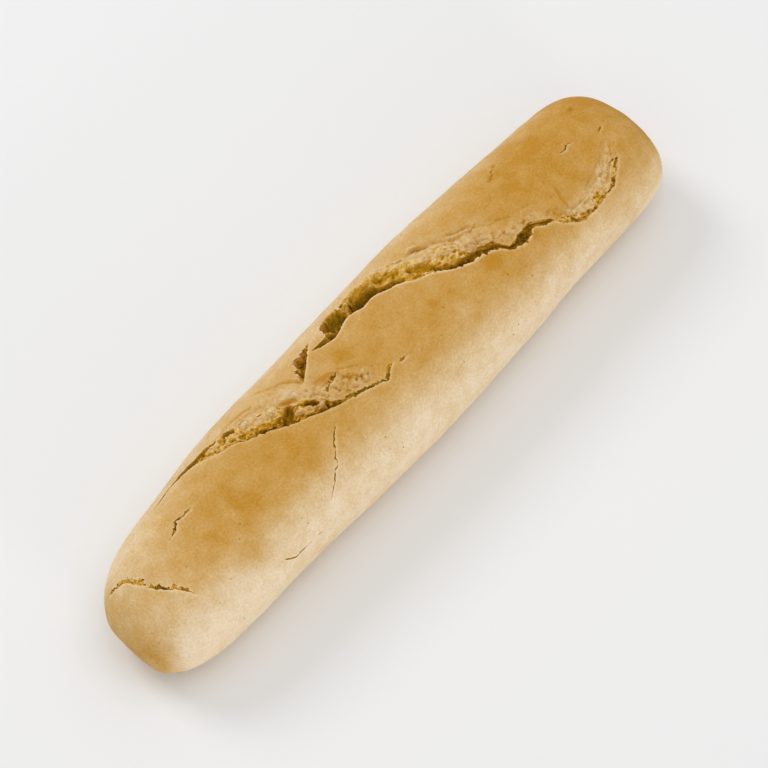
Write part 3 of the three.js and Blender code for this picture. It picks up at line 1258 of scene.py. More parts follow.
@dataclass(frozen=True)
class CrustFinish:
    """Baked crust: cream to dark gold by browning, matt, with fine grain, mottling and tiny specks.

    Sizes are in millimetres. Hollows of torn places are painted browner and darker, a painted shade, by
    hollow_painted_shade. Granular skin is painted lighter where its grain stands up, a painted highlight, by
    granular_highlight, and lighter all over by granular_lift, painted light that makes up for the shading of its
    bumps. It is rougher, by granular_height, and has the colour pit, a painted shade, in its hollows.
    """

    # Pale rim of the lip: partly less browned crust, partly a painted highlight
    lip_rim_pale_and_lit: Colour = colour(240, 216, 170)
    speck: Colour = colour(120, 80, 30)
    # Painted shade in the hollows of granular skin
    pit: Colour = colour(186, 142, 32)
    grain_size: float = 0.9
    grain_contrast: float = 0.5
    grain_shade: float = 0.7
    # Painted highlight where granular grain stands up, and painted light that makes up for its bumps' shading
    granular_highlight: float = 2.2
    granular_lift: float = 0.07
    granular_height: float = 1.6
    mottle_size: float = 6.0
    mottle_detail: float = 4.0
    mottle_strength: float = 0.5
    # Painted shade: how much browner and darker the hollows of torn places are drawn
    hollow_painted_shade: float = 0.4
    least_hollow: float = -0.3
    lump_size: float = 3.5
    lump_height: float = 0.7
    bump_strength: float = 0.5
    bump_height: float = 0.5
    smoothest: float = 0.56
    rougher: float = 0.2
    specular: float = 0.12
    specks_per_metre: float = 260.0
    speck_edge: float = 0.13
    speck_middle: float = 0.03
    speck_strength: float = 0.8

    def specks(self, nodes: Nodes, place: object) -> bpy.types.NodeSocket:
        """Tiny dark specks of uneven strength.

        Args:
            nodes: The material's nodes.
            place: Socket of the coordinates.

        Returns:
            The socket of the specks' share.
        """
        cells = nodes.add("ShaderNodeTexVoronoi", None, Vector=place, Scale=self.specks_per_metre)
        dots = nodes.add("ShaderNodeMapRange", {"interpolation_type": "SMOOTHSTEP"}, Value=cells.outputs["Distance"],
                         From_Min=self.speck_edge, From_Max=self.speck_middle, To_Min=0.0, To_Max=self.speck_strength)
        lot = nodes.add("ShaderNodeSeparateColor", None, Color=cells.outputs["Color"]).outputs["Red"]
        return nodes.times(dots.outputs["Result"], nodes.times(lot, lot))

    def material(self) -> bpy.types.Material:
        """The material, which reads the browning, hollow, rim and granular numbers of the loaf.

        Returns:
            The material.
        """
        finish, nodes, place = Nodes.finish("baked_crust")
        grain = FineGrain().place(nodes, place, self.grain_size, self.grain_contrast).outputs
        mottle = nodes.mottle(place, self.mottle_size, self.mottle_detail, self.mottle_strength)
        tone = nodes.plus(nodes.attribute("browning"), nodes.plus(mottle, grain["Tint"]))
        # Painted shade: hollows of torn places are drawn browner
        hollow = nodes.math("MAXIMUM", nodes.attribute("hollow"), self.least_hollow)
        tint = BakedTint().place(nodes, nodes.plus(tone, nodes.times(hollow, self.hollow_painted_shade)))
        # Pale lip rim, partly less browned crust and partly a painted highlight
        tint = nodes.blend(nodes.attribute("rim"), tint, self.lip_rim_pale_and_lit)
        granular = nodes.attribute("granular")
        # Painted shade: the colour pit in the hollows of granular skin
        tint = nodes.blend(nodes.math("MULTIPLY", hollow, granular, clamp=True), tint, self.pit)
        tint = nodes.blend(self.specks(nodes, place), tint, self.speck)
        # Grain tone; on granular skin a painted highlight where the grain stands up, and painted light for its bumps
        swing = nodes.math("SUBTRACT", nodes.times(granular, self.granular_highlight), self.grain_shade)
        shade = nodes.plus(nodes.times(grain["Tint"], swing), 1.0)
        shade = nodes.plus(nodes.times(granular, self.granular_lift), shade)
        tint = nodes.blend(1.0, tint, shade, "MULTIPLY")
        height = nodes.plus(grain["Height"], nodes.times(nodes.lumps(place, self.lump_size), self.lump_height))
        height = nodes.times(height, nodes.plus(1.0, nodes.times(granular, self.granular_height)))
        bump = nodes.add("ShaderNodeBump", None, Strength=self.bump_strength, Distance=self.bump_height * MM,
                         Height=height)
        sheen = nodes.plus(nodes.times(grain["Height"], self.rougher), self.smoothest)
        nodes.surface(Base_Color=tint, Roughness=sheen, Normal=bump.outputs["Normal"],
                      Specular_IOR_Level=self.specular)
        return finish


@dataclass(frozen=True)
class CrumbFinish:
    """Torn crumb: as pale as the crust beside it on its tops, with painted shade that makes it deep gold where
    it is hidden and dark in the gaps.

    Sizes are in millimetres. The crust's colours fade out up to the shade skin_shade.
    """

    # The crumb's colours by painted shade, from pale open tops to dark gold deep in the gaps
    stops: tuple[tuple[float, Colour], ...] = (
        (0.0, colour(236, 202, 143)),
        (0.2, colour(221, 176, 85)),
        (0.4, colour(203, 149, 38)),
        (0.6, colour(180, 132, 22)),
        (0.8, colour(168, 124, 20)),
        (1.0, colour(134, 100, 14)),
    )
    skin_shade: float = 0.12
    grain_size: float = 1.0
    grain_contrast: float = 1.2
    grain_light: float = 0.4
    mottle_size: float = 3.0
    mottle_detail: float = 3.0
    mottle_strength: float = 0.4
    hollow_shade: float = 0.35
    bump_strength: float = 0.6
    bump_height: float = 0.8
    roughness: float = 0.85
    specular: float = 0.06

    def material(self) -> bpy.types.Material:
        """The material, which reads the shade, hollow and browning numbers of the loaf.

        Returns:
            The material.
        """
        finish, nodes, place = Nodes.finish("torn_crumb")
        grain = FineGrain().place(nodes, place, self.grain_size, self.grain_contrast).outputs
        mottle = nodes.mottle(place, self.mottle_size, self.mottle_detail, self.mottle_strength)
        loose = nodes.math("SUBTRACT", mottle, grain["Tint"])
        # Painted shade: hollows are drawn deeper gold
        loose = nodes.plus(loose, nodes.times(nodes.attribute("hollow"), self.hollow_shade))
        # The painted shade stored on the loaf picks the crumb's colour from the stops
        shade = nodes.attribute("shade")
        skin = BakedTint().place(nodes, nodes.plus(nodes.attribute("browning"), loose))
        inside = nodes.math("DIVIDE", shade, self.skin_shade, clamp=True)
        tint = nodes.blend(inside, skin, nodes.ramp(nodes.plus(shade, loose), self.stops))
        light = nodes.plus(1.0, nodes.times(grain["Tint"], self.grain_light))
        tint = nodes.blend(1.0, tint, light, "MULTIPLY")
        bump = nodes.add("ShaderNodeBump", None, Strength=self.bump_strength, Distance=self.bump_height * MM,
                         Height=grain["Height"])
        nodes.surface(Base_Color=tint, Roughness=self.roughness, Normal=bump.outputs["Normal"],
                      Specular_IOR_Level=self.specular)
        return finish


@dataclass(frozen=True)
class FloorFinish:
    """A plain pale painted floor."""

    pale: Colour = (0.86, 0.86, 0.86, 1.0)
    paler: Colour = (0.9, 0.9, 0.9, 1.0)
    cloud_size: float = 300.0
    roughness: float = 0.9
    specular: float = 0.1

    def material(self) -> bpy.types.Material:
        """The material, with the faintest cloudiness.

        Returns:
            The material.
        """
        finish, nodes, place = Nodes.finish("studio_floor")
        tint = nodes.blend(nodes.lumps(place, self.cloud_size), self.pale, self.paler)
        nodes.surface(Base_Color=tint, Roughness=self.roughness, Specular_IOR_Level=self.specular)
        return finish


@dataclass
class Loaf:
    """The loaf itself: crust, bursts and cracks, modelled as one piece.

    Sizes are in millimetres. Each of the lumps of its crust is: height, size, seed. A range says over which
    distances, depths or shares of the skin's width an effect sets in.
    """

    bursts: tuple[Burst, ...]
    strokes: tuple[Stroke, ...] = ()
    crust: Crust = field(default_factory=Crust)
    bake: Bake = field(default_factory=Bake)
    pressed: Flat = field(default_factory=Flat)
    around: int = 52
    along: int = 128
    fine_cuts: int = 2
    lumps: tuple[tuple[float, float, int], ...] = ((0.3, 24.0, 201), (0.1, 6.0, 202))
    base_fade: float = 3.0
    # Band at the lip's edge that is drawn pale: partly less browned crust, partly a painted highlight
    rim: Range = (-1.3, -0.3)
    torn_paleness: float = 0.24
    pale_skin: Range = (1.2, 0.5)
    torn_lip: Range = (-2.0, -0.5)
    torn_skin: Range = (1.4, 1.0)
    torn_stroke: Range = (0.0, 0.2)
    least_torn: float = 0.05
    crumb_margin: float = 1.0
    deep: Range = (3.5, 5.5)
    tightest: float = 1.5
    least_spread: float = 0.02
    even_passes: int = 3
    even_share: float = 0.6
    # Feelers find how far dough close by hides each place; with the depth below the crust this gives the crumb's
    # painted shade, up to gap_shade
    feelers: int = 36
    feeler_reach: float = 9.0
    feeler_lift: float = 0.2
    least_facing: float = 0.1
    deep_shade: float = 0.3
    hidden_shade: float = 0.85
    gap_shade: float = 0.72
    smooth_angle: float = 40.0

    def draw_out(self) -> bpy.types.Object:
        """A ball drawn out to the crust and smoothed.

        Returns:
            The loaf before it bursts.
        """
        deselect_all()
        bpy.ops.mesh.primitive_uv_sphere_add(segments=self.around, ring_count=self.along, radius=1.0)
        loaf = bpy.context.active_object
        loaf.name = "baked_loaf"
        with editing(loaf):
            bpy.ops.mesh.select_all(action="SELECT")
            bpy.ops.transform.rotate(value=math.pi / 2, orient_axis="Y", center_override=(0.0, 0.0, 0.0))
        ball = read_points(loaf) * MM
        x = self.crust.length / 2.0 * np.clip(ball[:, 0], -1.0, 1.0)
        write_points(loaf, self.crust.points(x, np.degrees(np.arctan2(ball[:, 1], ball[:, 2]))))
        apply_modifier(loaf, "SUBSURF", levels=1, render_levels=1)
        return loaf

    def refine(self, loaf: bpy.types.Object) -> None:
        """Gives the crust about the bursts and strokes finer faces.

        Args:
            loaf: The loaf before it bursts.
        """
        centres = read_rows(loaf.data.polygons, "center") / MM
        near = np.any([burst.zone(self.crust, centres) for burst in self.bursts], axis=0)
        near |= np.any([stroke.profile(self.crust, centres) > 0.0 for stroke in self.strokes], axis=0)
        with editing(loaf):
            bpy.ops.mesh.select_all(action="DESELECT")
        loaf.data.polygons.foreach_set("select", near)
        with editing(loaf):
            bpy.ops.mesh.subdivide(number_cuts=self.fine_cuts, ngon=False)

    def sculpt(self, loaf: bpy.types.Object) -> None:
        """Raises the lips, stretches the skin behind them and gives the crust its low lumps.

        Args:
            loaf: The loaf before it bursts.
        """
        points = read_points(loaf)
        height = sum(high * rough(points, size, seed) for high, size, seed in self.lumps)
        height = height + sum(burst.relief(self.crust, points) for burst in self.bursts)
        height = height + sum(stroke.height(points, stroke.profile(self.crust, points)) for stroke in self.strokes)
        height = height * smooth_step(0.0, self.base_fade, points[:, 2])
        points = points + read_normals(loaf) * height[:, None]
        points = self.pressed.press(points)
        points[:, 2] = np.maximum(points[:, 2], 0.0)
        write_points(loaf, points)

    def open(self, loaf: bpy.types.Object) -> None:
        """Cuts the bursts, whose faces take the loaf's second material, the crumb's.

        Args:
            loaf: The sculpted loaf.
        """
        for burst in self.bursts:
            cutter = burst.cutter(self.crust)
            for finish in loaf.data.materials:
                cutter.data.materials.append(finish)
            cutter.data.polygons.foreach_set("material_index", np.ones(len(cutter.data.polygons), dtype=np.int32))
            apply_modifier(loaf, "BOOLEAN", object=cutter, operation="DIFFERENCE", solver="MANIFOLD")
            bpy.data.objects.remove(cutter)
            LOG.info("cut %s: %d faces", burst.name, len(loaf.data.polygons))

    def hollows(self, loaf: bpy.types.Object) -> np.ndarray:
        """How hollow the surface is at each vertex, below 0 on a bump and above 0 in a pit.

        Args:
            loaf: The cut loaf.

        Returns:
            The hollowness of each vertex, evened out over its neighbours.
        """
        points, out = read_points(loaf), read_normals(loaf)
        ends = np.empty(2 * len(loaf.data.edges), dtype=np.int32)
        loaf.data.edges.foreach_get("vertices", ends)
        first, second = np.concatenate([ends.reshape(-1, 2), ends.reshape(-1, 2)[:, ::-1]]).T
        count = np.maximum(np.bincount(first, minlength=len(points)), 1)
        offset = points[second] - points[first]
        rise = np.bincount(first, weights=dot(offset, out[first]), minlength=len(points))
        spread = np.bincount(first, weights=dot(offset, offset), minlength=len(points))
        hollow = 2.0 * rise / np.maximum(spread, self.least_spread * count)
        hollow = np.clip(hollow, -self.tightest, self.tightest)
        for _ in range(self.even_passes):
            about = np.bincount(first, weights=hollow[second], minlength=len(points))
            hollow = (1.0 - self.even_share) * hollow + self.even_share * about / count
        return hollow

    def hidden(self, loaf: bpy.types.Object, which: np.ndarray) -> np.ndarray:
        """How far dough close by hides places from the open, felt along rays in steady directions, for painted shade.

        Args:
            loaf: The cut loaf.
            which: The vertices that are felt.

        Returns:
            For each vertex, 0 in the open to 1 deep in a hole.
        """
        tree = BVHTree.FromObject(loaf, bpy.context.evaluated_depsgraph_get())
        points, out = read_points(loaf) * MM, read_normals(loaf)
        spot = np.arange(self.feelers) + 0.5
        level, turn = 1.0 - 2.0 * spot / self.feelers, GOLDEN_TURN * spot
        across = np.sqrt(1.0 - level**2)
        ways = np.stack([across * np.cos(turn), across * np.sin(turn), level], axis=1)
        reach = self.feeler_reach * MM
        hidden = np.zeros(len(points))
        for k in np.flatnonzero(which):
            facing = ways @ out[k]
            start = Vector(points[k] + self.feeler_lift * MM * out[k])
            for way in np.flatnonzero(facing > self.least_facing):
                away = tree.ray_cast(start, Vector(ways[way]), reach)[3]
                hidden[k] += facing[way] * (1.0 - away / reach) if away else 0.0
            hidden[k] /= facing[facing > self.least_facing].sum()
        return hidden

    def record_tones(self, loaf: bpy.types.Object) -> None:
        """Stores browning, the lip rim's paleness and painted highlight, granular skin, the crumb's painted shade
        and hollowness on the loaf for its materials.

        Args:
            loaf: The cut loaf.
        """
        points = read_points(loaf)
        x, angle = points[:, 0], self.crust.angle_of(points)
        below = dot(self.crust.points(x, angle) - points, self.crust.outward(x, angle))
        browning = self.bake.tone(self.crust, points)
        drawn = [(stroke, stroke.profile(self.crust, points)) for stroke in self.strokes]
        browning = browning + sum(stroke.gold * profile for stroke, profile in drawn)
        rim, torn, gold, granular = np.zeros((4, len(points)))
        darkest = np.full(len(points), Tear.DEEP.darkest)
        for burst in self.bursts:
            share, aside, past = burst.track(self.crust).locate(points)
            crumb, _, _, _, width = burst.sizes(share)
            weight = burst.weight(share, past)
            beyond = burst.skin.beyond(aside - crumb, width)
            pale = weight * (aside > crumb / 2.0) * smooth_step(*self.pale_skin, beyond)
            browning = browning - self.torn_paleness * pale * burst.skin.strength(width)
            # The lip's pale rim: partly less browned crust, partly a painted highlight
            lip = weight * smooth_step(*self.rim, aside) * (aside < crumb / 2.0)
            rim = np.maximum(rim, burst.pale_lip * lip)
            opened = weight * smooth_step(*self.torn_lip, aside) * smooth_step(*self.torn_skin, beyond)
            torn = np.maximum(torn, opened)
            within = (aside > -self.crumb_margin) & (aside < crumb + self.crumb_margin) & (past < self.crumb_margin)
            darkest[within] = burst.tear.darkest
            # Added to the crumb's shade: its burst's gold, deep_painted_shade as painted shade where it lies deep, and
            # the strokes' gold, which sets the painted shade of gaps, holes and lumps
            gold = gold + within * (burst.gold + burst.deep_painted_shade * smooth_step(*self.deep, below))
            gold = gold + sum(stroke.gold * stroke.profile(self.crust, points) for stroke in burst.strokes)
        for stroke, profile in drawn:
            torn = np.maximum(torn, smooth_step(*self.torn_stroke, profile))
            granular = np.maximum(granular, profile * (stroke.coarse > 0.0))
        write_attribute(loaf, "browning", browning)
        write_attribute(loaf, "rim", rim)
        write_attribute(loaf, "granular", granular)
        # Painted shade of the crumb: darker with depth below the crust and where dough close by hides it, capped at
        # gap_shade, then the gold added
        shade = self.deep_shade * np.clip(below / darkest, 0.0, 1.0)
        shade = np.minimum(shade + self.hidden_shade * self.hidden(loaf, torn > self.least_torn), self.gap_shade)
        write_attribute(loaf, "shade", np.clip(shade + gold, 0.0, 1.0))
        # Hollowness of the torn places, which the materials paint darker in pits as painted shade
        write_attribute(loaf, "hollow", self.hollows(loaf) * torn)

    def build(self, crust_finish: bpy.types.Material, crumb_finish: bpy.types.Material) -> bpy.types.Object:
        """Models and dresses the loaf.

        Args:
            crust_finish: Material of the crust.
            crumb_finish: Material of the torn crumb.

        Returns:
            The finished piece.
        """
        loaf = self.draw_out()
        loaf.data.materials.append(crust_finish)
        loaf.data.materials.append(crumb_finish)
        self.refine(loaf)
        self.sculpt(loaf)
        self.open(loaf)
        self.record_tones(loaf)
        activate(loaf)
        bpy.ops.object.shade_smooth_by_angle(angle=math.radians(self.smooth_angle))
        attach(loaf, "root")
        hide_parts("loaf")
        return loaf


@dataclass(frozen=True)
class SoftLight:
    """A square studio light: where it shines from, in metres, its side and its power."""

    name: str
    place: tuple[float, float, float]
    side: float
    power: float


@dataclass
class Studio:
    """Pale floor, soft lights and the camera."""

    floor_side: float = 6.0
    floor_cuts: int = 7
    sky: Colour = (1.0, 1.0, 1.0, 1.0)
    sky_strength: float = 0.6
    lights: tuple[SoftLight, ...] = (
        SoftLight("key_light", (-0.15, 1.35, 1.25), 0.7, 10.0),
        SoftLight("top_light", (0.4, -0.3, 1.9), 1.6, 7.5),
        SoftLight("low_light", (-0.4, -1.75, 0.3), 0.5, 7.0),
    )
    target: tuple[float, float, float] = (-0.00272, -0.00308, 0.01784)
    azimuth: float = -50.26
    elevation: float = 60.0
    distance: float = 1.5
    lens: float = 195.46
    far_clip: float = 20.0

    def lay_floor(self) -> bpy.types.Object:
        """A broad flat floor just under the loaf.

        Returns:
            The floor.
        """
        deselect_all()
        bpy.ops.mesh.primitive_plane_add(size=self.floor_side)
        floor = bpy.context.active_object
        floor.name = "floor"
        with editing(floor):
            bpy.ops.mesh.select_all(action="SELECT")
            bpy.ops.mesh.subdivide(number_cuts=self.floor_cuts)
        floor.data.materials.append(FloorFinish().material())
        return floor

    def light(self) -> None:
        """A white surround and the soft lights, all aimed at the loaf."""
        world = bpy.data.worlds.new("studio")
        bpy.context.scene.world = world
        world.use_nodes = True
        nodes = Nodes(world.node_tree)
        sky = nodes.add("ShaderNodeBackground", None, Color=self.sky, Strength=self.sky_strength)
        nodes.feed(nodes.add("ShaderNodeOutputWorld"), "Surface", sky.outputs["Background"])
        for soft in self.lights:
            deselect_all()
            bpy.ops.object.light_add(type="AREA", location=soft.place)
            lamp = bpy.context.active_object
            lamp.name = soft.name
            lamp.data.size = soft.side
            lamp.data.energy = soft.power
            lamp.rotation_euler = Vector(soft.place).to_track_quat("Z", "Y").to_euler()
        bpy.context.scene.view_settings.view_transform = "Standard"

    def set_camera(self) -> None:
        """Sets the camera at the viewing angle."""
        turn, tilt = math.radians(self.azimuth), math.radians(self.elevation)
        back = Vector((math.sin(turn) * math.cos(tilt), -math.cos(turn) * math.cos(tilt), math.sin(tilt)))
        deselect_all()
        bpy.ops.object.camera_add(location=Vector(self.target) + back * self.distance)
        camera = bpy.context.active_object
        camera.rotation_euler = back.to_track_quat("Z", "Y").to_euler()
        camera.data.lens = self.lens
        camera.data.clip_end = self.far_clip
        bpy.context.scene.camera = camera


FIRST_SLASH = Burst("first_slash", (
    (-101.0, 52.0, 0.6, 0.4, -0.3, -0.3, 0.5),
    (-95.0, 51.0, 1.0, 0.8, 1.6, 1.0, 0.5),
    (-89.0, 49.6, 1.8, 0.6, 1.2, 1.0, 1.0),
    (-83.0, 44.0, 3.4, 0.6, 1.2, 1.2, 1.0),
    (-77.6, 37.8, 5.0, 0.7, 1.6, 1.1, 1.5),
    (-72.0, 30.5, 7.0, 1.4, 2.6, 1.1, 2.0),
    (-66.0, 25.5, 7.6, 1.9, 3.4, 1.2, 4.0),
    (-62.7, 20.0, 8.5, 2.2, 4.0, 1.3, 5.0),
    (-57.3, 14.5, 9.0, 2.4, 4.4, 1.5, 5.5),
    (-51.5, 7.2, 9.2, 2.4, 4.6, 1.9, 8.0),
    (-47.7, 2.8, 8.6, 2.6, 4.8, 2.3, 9.0),
    (-43.6, -1.0, 7.8, 1.4, 3.6, 1.9, 11.0),
    (-38.0, -6.5, 6.8, 1.0, 2.4, 1.7, 11.0),
    (-34.0, -9.3, 5.2, 1.2, 3.0, 1.5, 10.0),
    (-30.5, -11.7, 2.4, 0.9, 2.2, 1.1, 10.0),
    (-27.0, -13.4, 1.0, 0.5, -0.4, -0.4, 10.0),
    (-17.0, -19.5, 0.9, 0.5, -0.6, -0.6, 9.0),
    (-12.5, -23.0, 1.0, 0.5, -0.6, -0.6, 7.0),
    (-10.5, -23.5, 0.6, 0.4, -0.3, -0.3, 5.0),
), Tear.DEEP, 1, (
    Stroke(((-47.4, 9.6, 1.9), (-45.6, 11.2, 3.0), (-43.6, 13.2, 2.3)), 3.2, soft=0.7, ragged=0.2, calm=1.0),
    Stroke(((-43.2, 2.0, 1.1), (-41.0, -0.6, 1.3), (-38.4, -3.8, 1.2)), -0.6, ragged=0.1, gold=0.08, calm=0.9),
    Stroke(((-41.8, 12.0, 0.6), (-39.8, 9.3, 0.6), (-38.1, 7.3, 0.6)), 0.7, gold=0.1),
    Stroke(((-37.6, 6.6, 0.9), (-36.7, 4.2, 1.2), (-35.6, 2.0, 0.9)), 2.6, soft=0.7, ragged=0.4, calm=0.8),
    Stroke(((-43.4, 7.8, 1.3), (-41.0, 5.0, 1.9), (-38.6, 1.2, 1.9), (-36.4, -2.2, 1.2)), -1.4, soft=0.95, ragged=0.4,
           gold=-0.38, calm=0.8, coarse=0.25, bit=1.1),
    Stroke(((-36.8, -3.2, 1.0), (-35.5, -1.6, 1.4), (-34.0, -0.6, 1.0)), -1.3, soft=0.95, ragged=0.6, gold=-0.33,
           calm=0.6, coarse=0.5, bit=1.1),
    Stroke(((-33.0, -3.0, 0.7), (-33.6, -6.6, 0.7)), 1.0, soft=0.6),
    Stroke(((-31.0, -5.1, 1.0), (-30.1, -6.4, 1.2), (-29.0, -7.2, 1.0)), -0.8, gold=-0.3),
    Stroke(((-32.2, -8.2, 0.9),), 0.9, soft=0.6),
    Stroke(((-76.0, 42.5, 1.4), (-71.0, 40.0, 2.0), (-65.0, 36.5, 2.8), (-59.5, 31.5, 3.4), (-52.5, 25.5, 3.2),
            (-48.0, 20.0, 2.2)), 0.0, soft=0.7, gold=-0.26, coarse=0.35, bit=0.9),
    Stroke(((-76.0, 43.0, 0.8), (-65.0, 34.0, 1.4), (-59.0, 26.0, 1.6), (-52.0, 17.5, 1.6), (-47.8, 12.0, 1.3)), 0.5,
           ragged=0.9, gold=0.2, coarse=0.6),
), gold=0.17, pale_lip=0.2, lip_jag=0.35, far_jag=0.9)

SECOND_SLASH = Burst("second_slash", (
    (-19.5, 31.5, 0.6, 0.4, -0.3, -0.3, 1.0),
    (-15.0, 28.5, 2.6, 2.2, 4.5, 2.5, 1.0),
    (-11.0, 26.0, 5.0, 2.6, 5.5, 3.0, 1.0),
    (-6.0, 27.6, 9.0, 3.0, 6.5, 4.5, 1.0),
    (0.0, 29.5, 9.5, 2.0, 6.5, 4.0, 1.0),
    (5.0, 26.0, 11.0, 3.6, 8.5, 4.2, 1.0),
    (10.7, 26.2, 11.5, 3.4, 9.0, 4.4, 1.0),
    (16.0, 22.0, 11.5, 2.4, 8.0, 4.2, 1.5),
    (20.0, 18.0, 10.5, 1.8, 7.0, 3.8, 2.0),
    (26.0, 10.5, 10.0, 1.2, 4.5, 3.0, 3.0),
    (31.0, 6.2, 9.5, 1.0, 4.0, 2.6, 5.0),
    (36.0, -1.0, 10.0, 1.6, 4.6, 2.2, 6.0),
    (41.5, -7.0, 9.0, 2.6, 5.0, 1.9, 7.0),
    (45.3, -9.6, 5.4, 3.0, 4.4, 2.0, 11.0),
    (49.0, -10.8, 4.2, 2.8, 3.7, 1.7, 12.0),
    (54.2, -15.3, 3.9, 2.7, 3.4, 1.6, 12.0),
    (56.2, -17.8, 1.9, 1.4, 2.0, 0.8, 12.0),
    (57.9, -22.6, 1.7, 1.2, 2.0, 0.9, 11.0),
    (61.3, -25.2, 2.6, 1.8, 2.8, 1.2, 10.0),
    (64.1, -26.5, 4.2, 3.0, 3.8, 1.9, 9.0),
    (67.4, -26.0, 3.9, 2.9, 3.8, 1.8, 8.0),
    (69.9, -23.4, 2.8, 2.0, 3.0, 1.4, 7.0),
    (71.8, -24.2, 2.2, 1.2, 2.2, 1.0, 6.0),
    (75.0, -29.0, 2.3, 1.3, 2.0, 0.9, 4.0),
    (77.2, -30.8, 1.6, 0.9, 1.4, 0.7, 3.0),
    (79.2, -32.6, 0.6, 0.4, -0.3, -0.3, 2.0),
), Tear.DEEP, 21, (
    Stroke(((-17.0, 33.0, 1.6), (-13.1, 34.4, 2.2), (-8.4, 39.0, 2.2)), 0.6, gold=0.25, calm=0.6),
    Stroke(((-8.2, 44.2, 2.2), (-4.0, 45.0, 3.0), (-0.2, 44.0, 2.4)), 2.8, soft=0.6, ragged=0.4, gold=0.4, calm=0.4),
    Stroke(((-7.8, 46.2, 1.4), (-3.2, 47.6, 1.7), (0.2, 46.6, 1.3)), 0.8, soft=0.5, ragged=0.5, gold=0.2),
    Stroke(((-11.2, 37.2, 0.8), (-8.9, 37.4, 0.9), (-7.4, 33.5, 0.8)), -3.0, soft=0.7, gold=-0.15),
    Stroke(((4.6, 44.6, 1.5), (3.0, 45.8, 1.7), (1.6, 47.6, 1.3)), -1.4, ragged=0.8, coarse=0.9, bit=1.1),
    Stroke(((4.8, 40.4, 1.9), (7.9, 41.4, 2.5), (11.4, 41.4, 2.5), (15.4, 39.2, 1.9)), 5.4, soft=0.45, gold=0.6,
           calm=0.5),
    Stroke(((15.4, 38.6, 1.5), (19.4, 31.5, 1.4), (22.6, 27.7, 1.2), (24.6, 23.5, 0.9)), 2.4, soft=0.7, gold=0.45),
    Stroke(((-5.0, 48.5, 2.0), (2.0, 49.0, 2.2), (9.0, 48.5, 2.6), (15.0, 46.5, 2.8), (20.0, 40.0, 2.4),
            (24.5, 33.0, 1.6)), 0.0, gold=0.2, coarse=0.8),
    Stroke(((28.6, 25.0, 1.2), (31.7, 18.0, 2.1), (34.6, 11.2, 1.3)), 1.4, soft=0.7, ragged=0.1, gold=0.15, calm=1.0),
    Stroke(((36.4, 11.2, 0.6), (37.2, 10.0, 0.8)), 0.6, ragged=0.8, gold=0.1),
    Stroke(((38.6, 10.6, 1.6), (40.4, 7.2, 1.8), (42.6, 4.6, 1.4)), 0.1, calm=0.7, coarse=0.7),
    Stroke(((36.5, 7.2, 0.8), (39.9, 2.9, 0.9)), 0.9, ragged=0.7, gold=0.1),
    Stroke(((36.0, 21.0, 2.4), (40.0, 14.0, 2.6), (43.0, 9.0, 2.2)), -0.5, ragged=0.6, gold=-0.15),
    Stroke(((34.8, 9.0, 0.8), (37.5, 3.6, 0.9), (41.6, -1.6, 1.2), (45.6, -4.0, 1.2)), 1.4, soft=0.8, gold=0.05),
    Stroke(((46.0, -5.6, 1.0), (50.0, -7.4, 1.1), (55.0, -11.9, 1.0), (57.4, -17.0, 0.6), (59.4, -21.4, 0.6),
            (62.4, -22.6, 0.9), (65.0, -22.9, 1.2), (68.2, -22.4, 1.0)), 0.5, gold=0.08, calm=0.4),
), gold=0.1, lip_jag=0.4, lip_teeth=0.8, toothed_from=36.0, far_jag=0.8, deep_painted_shade=0.28)

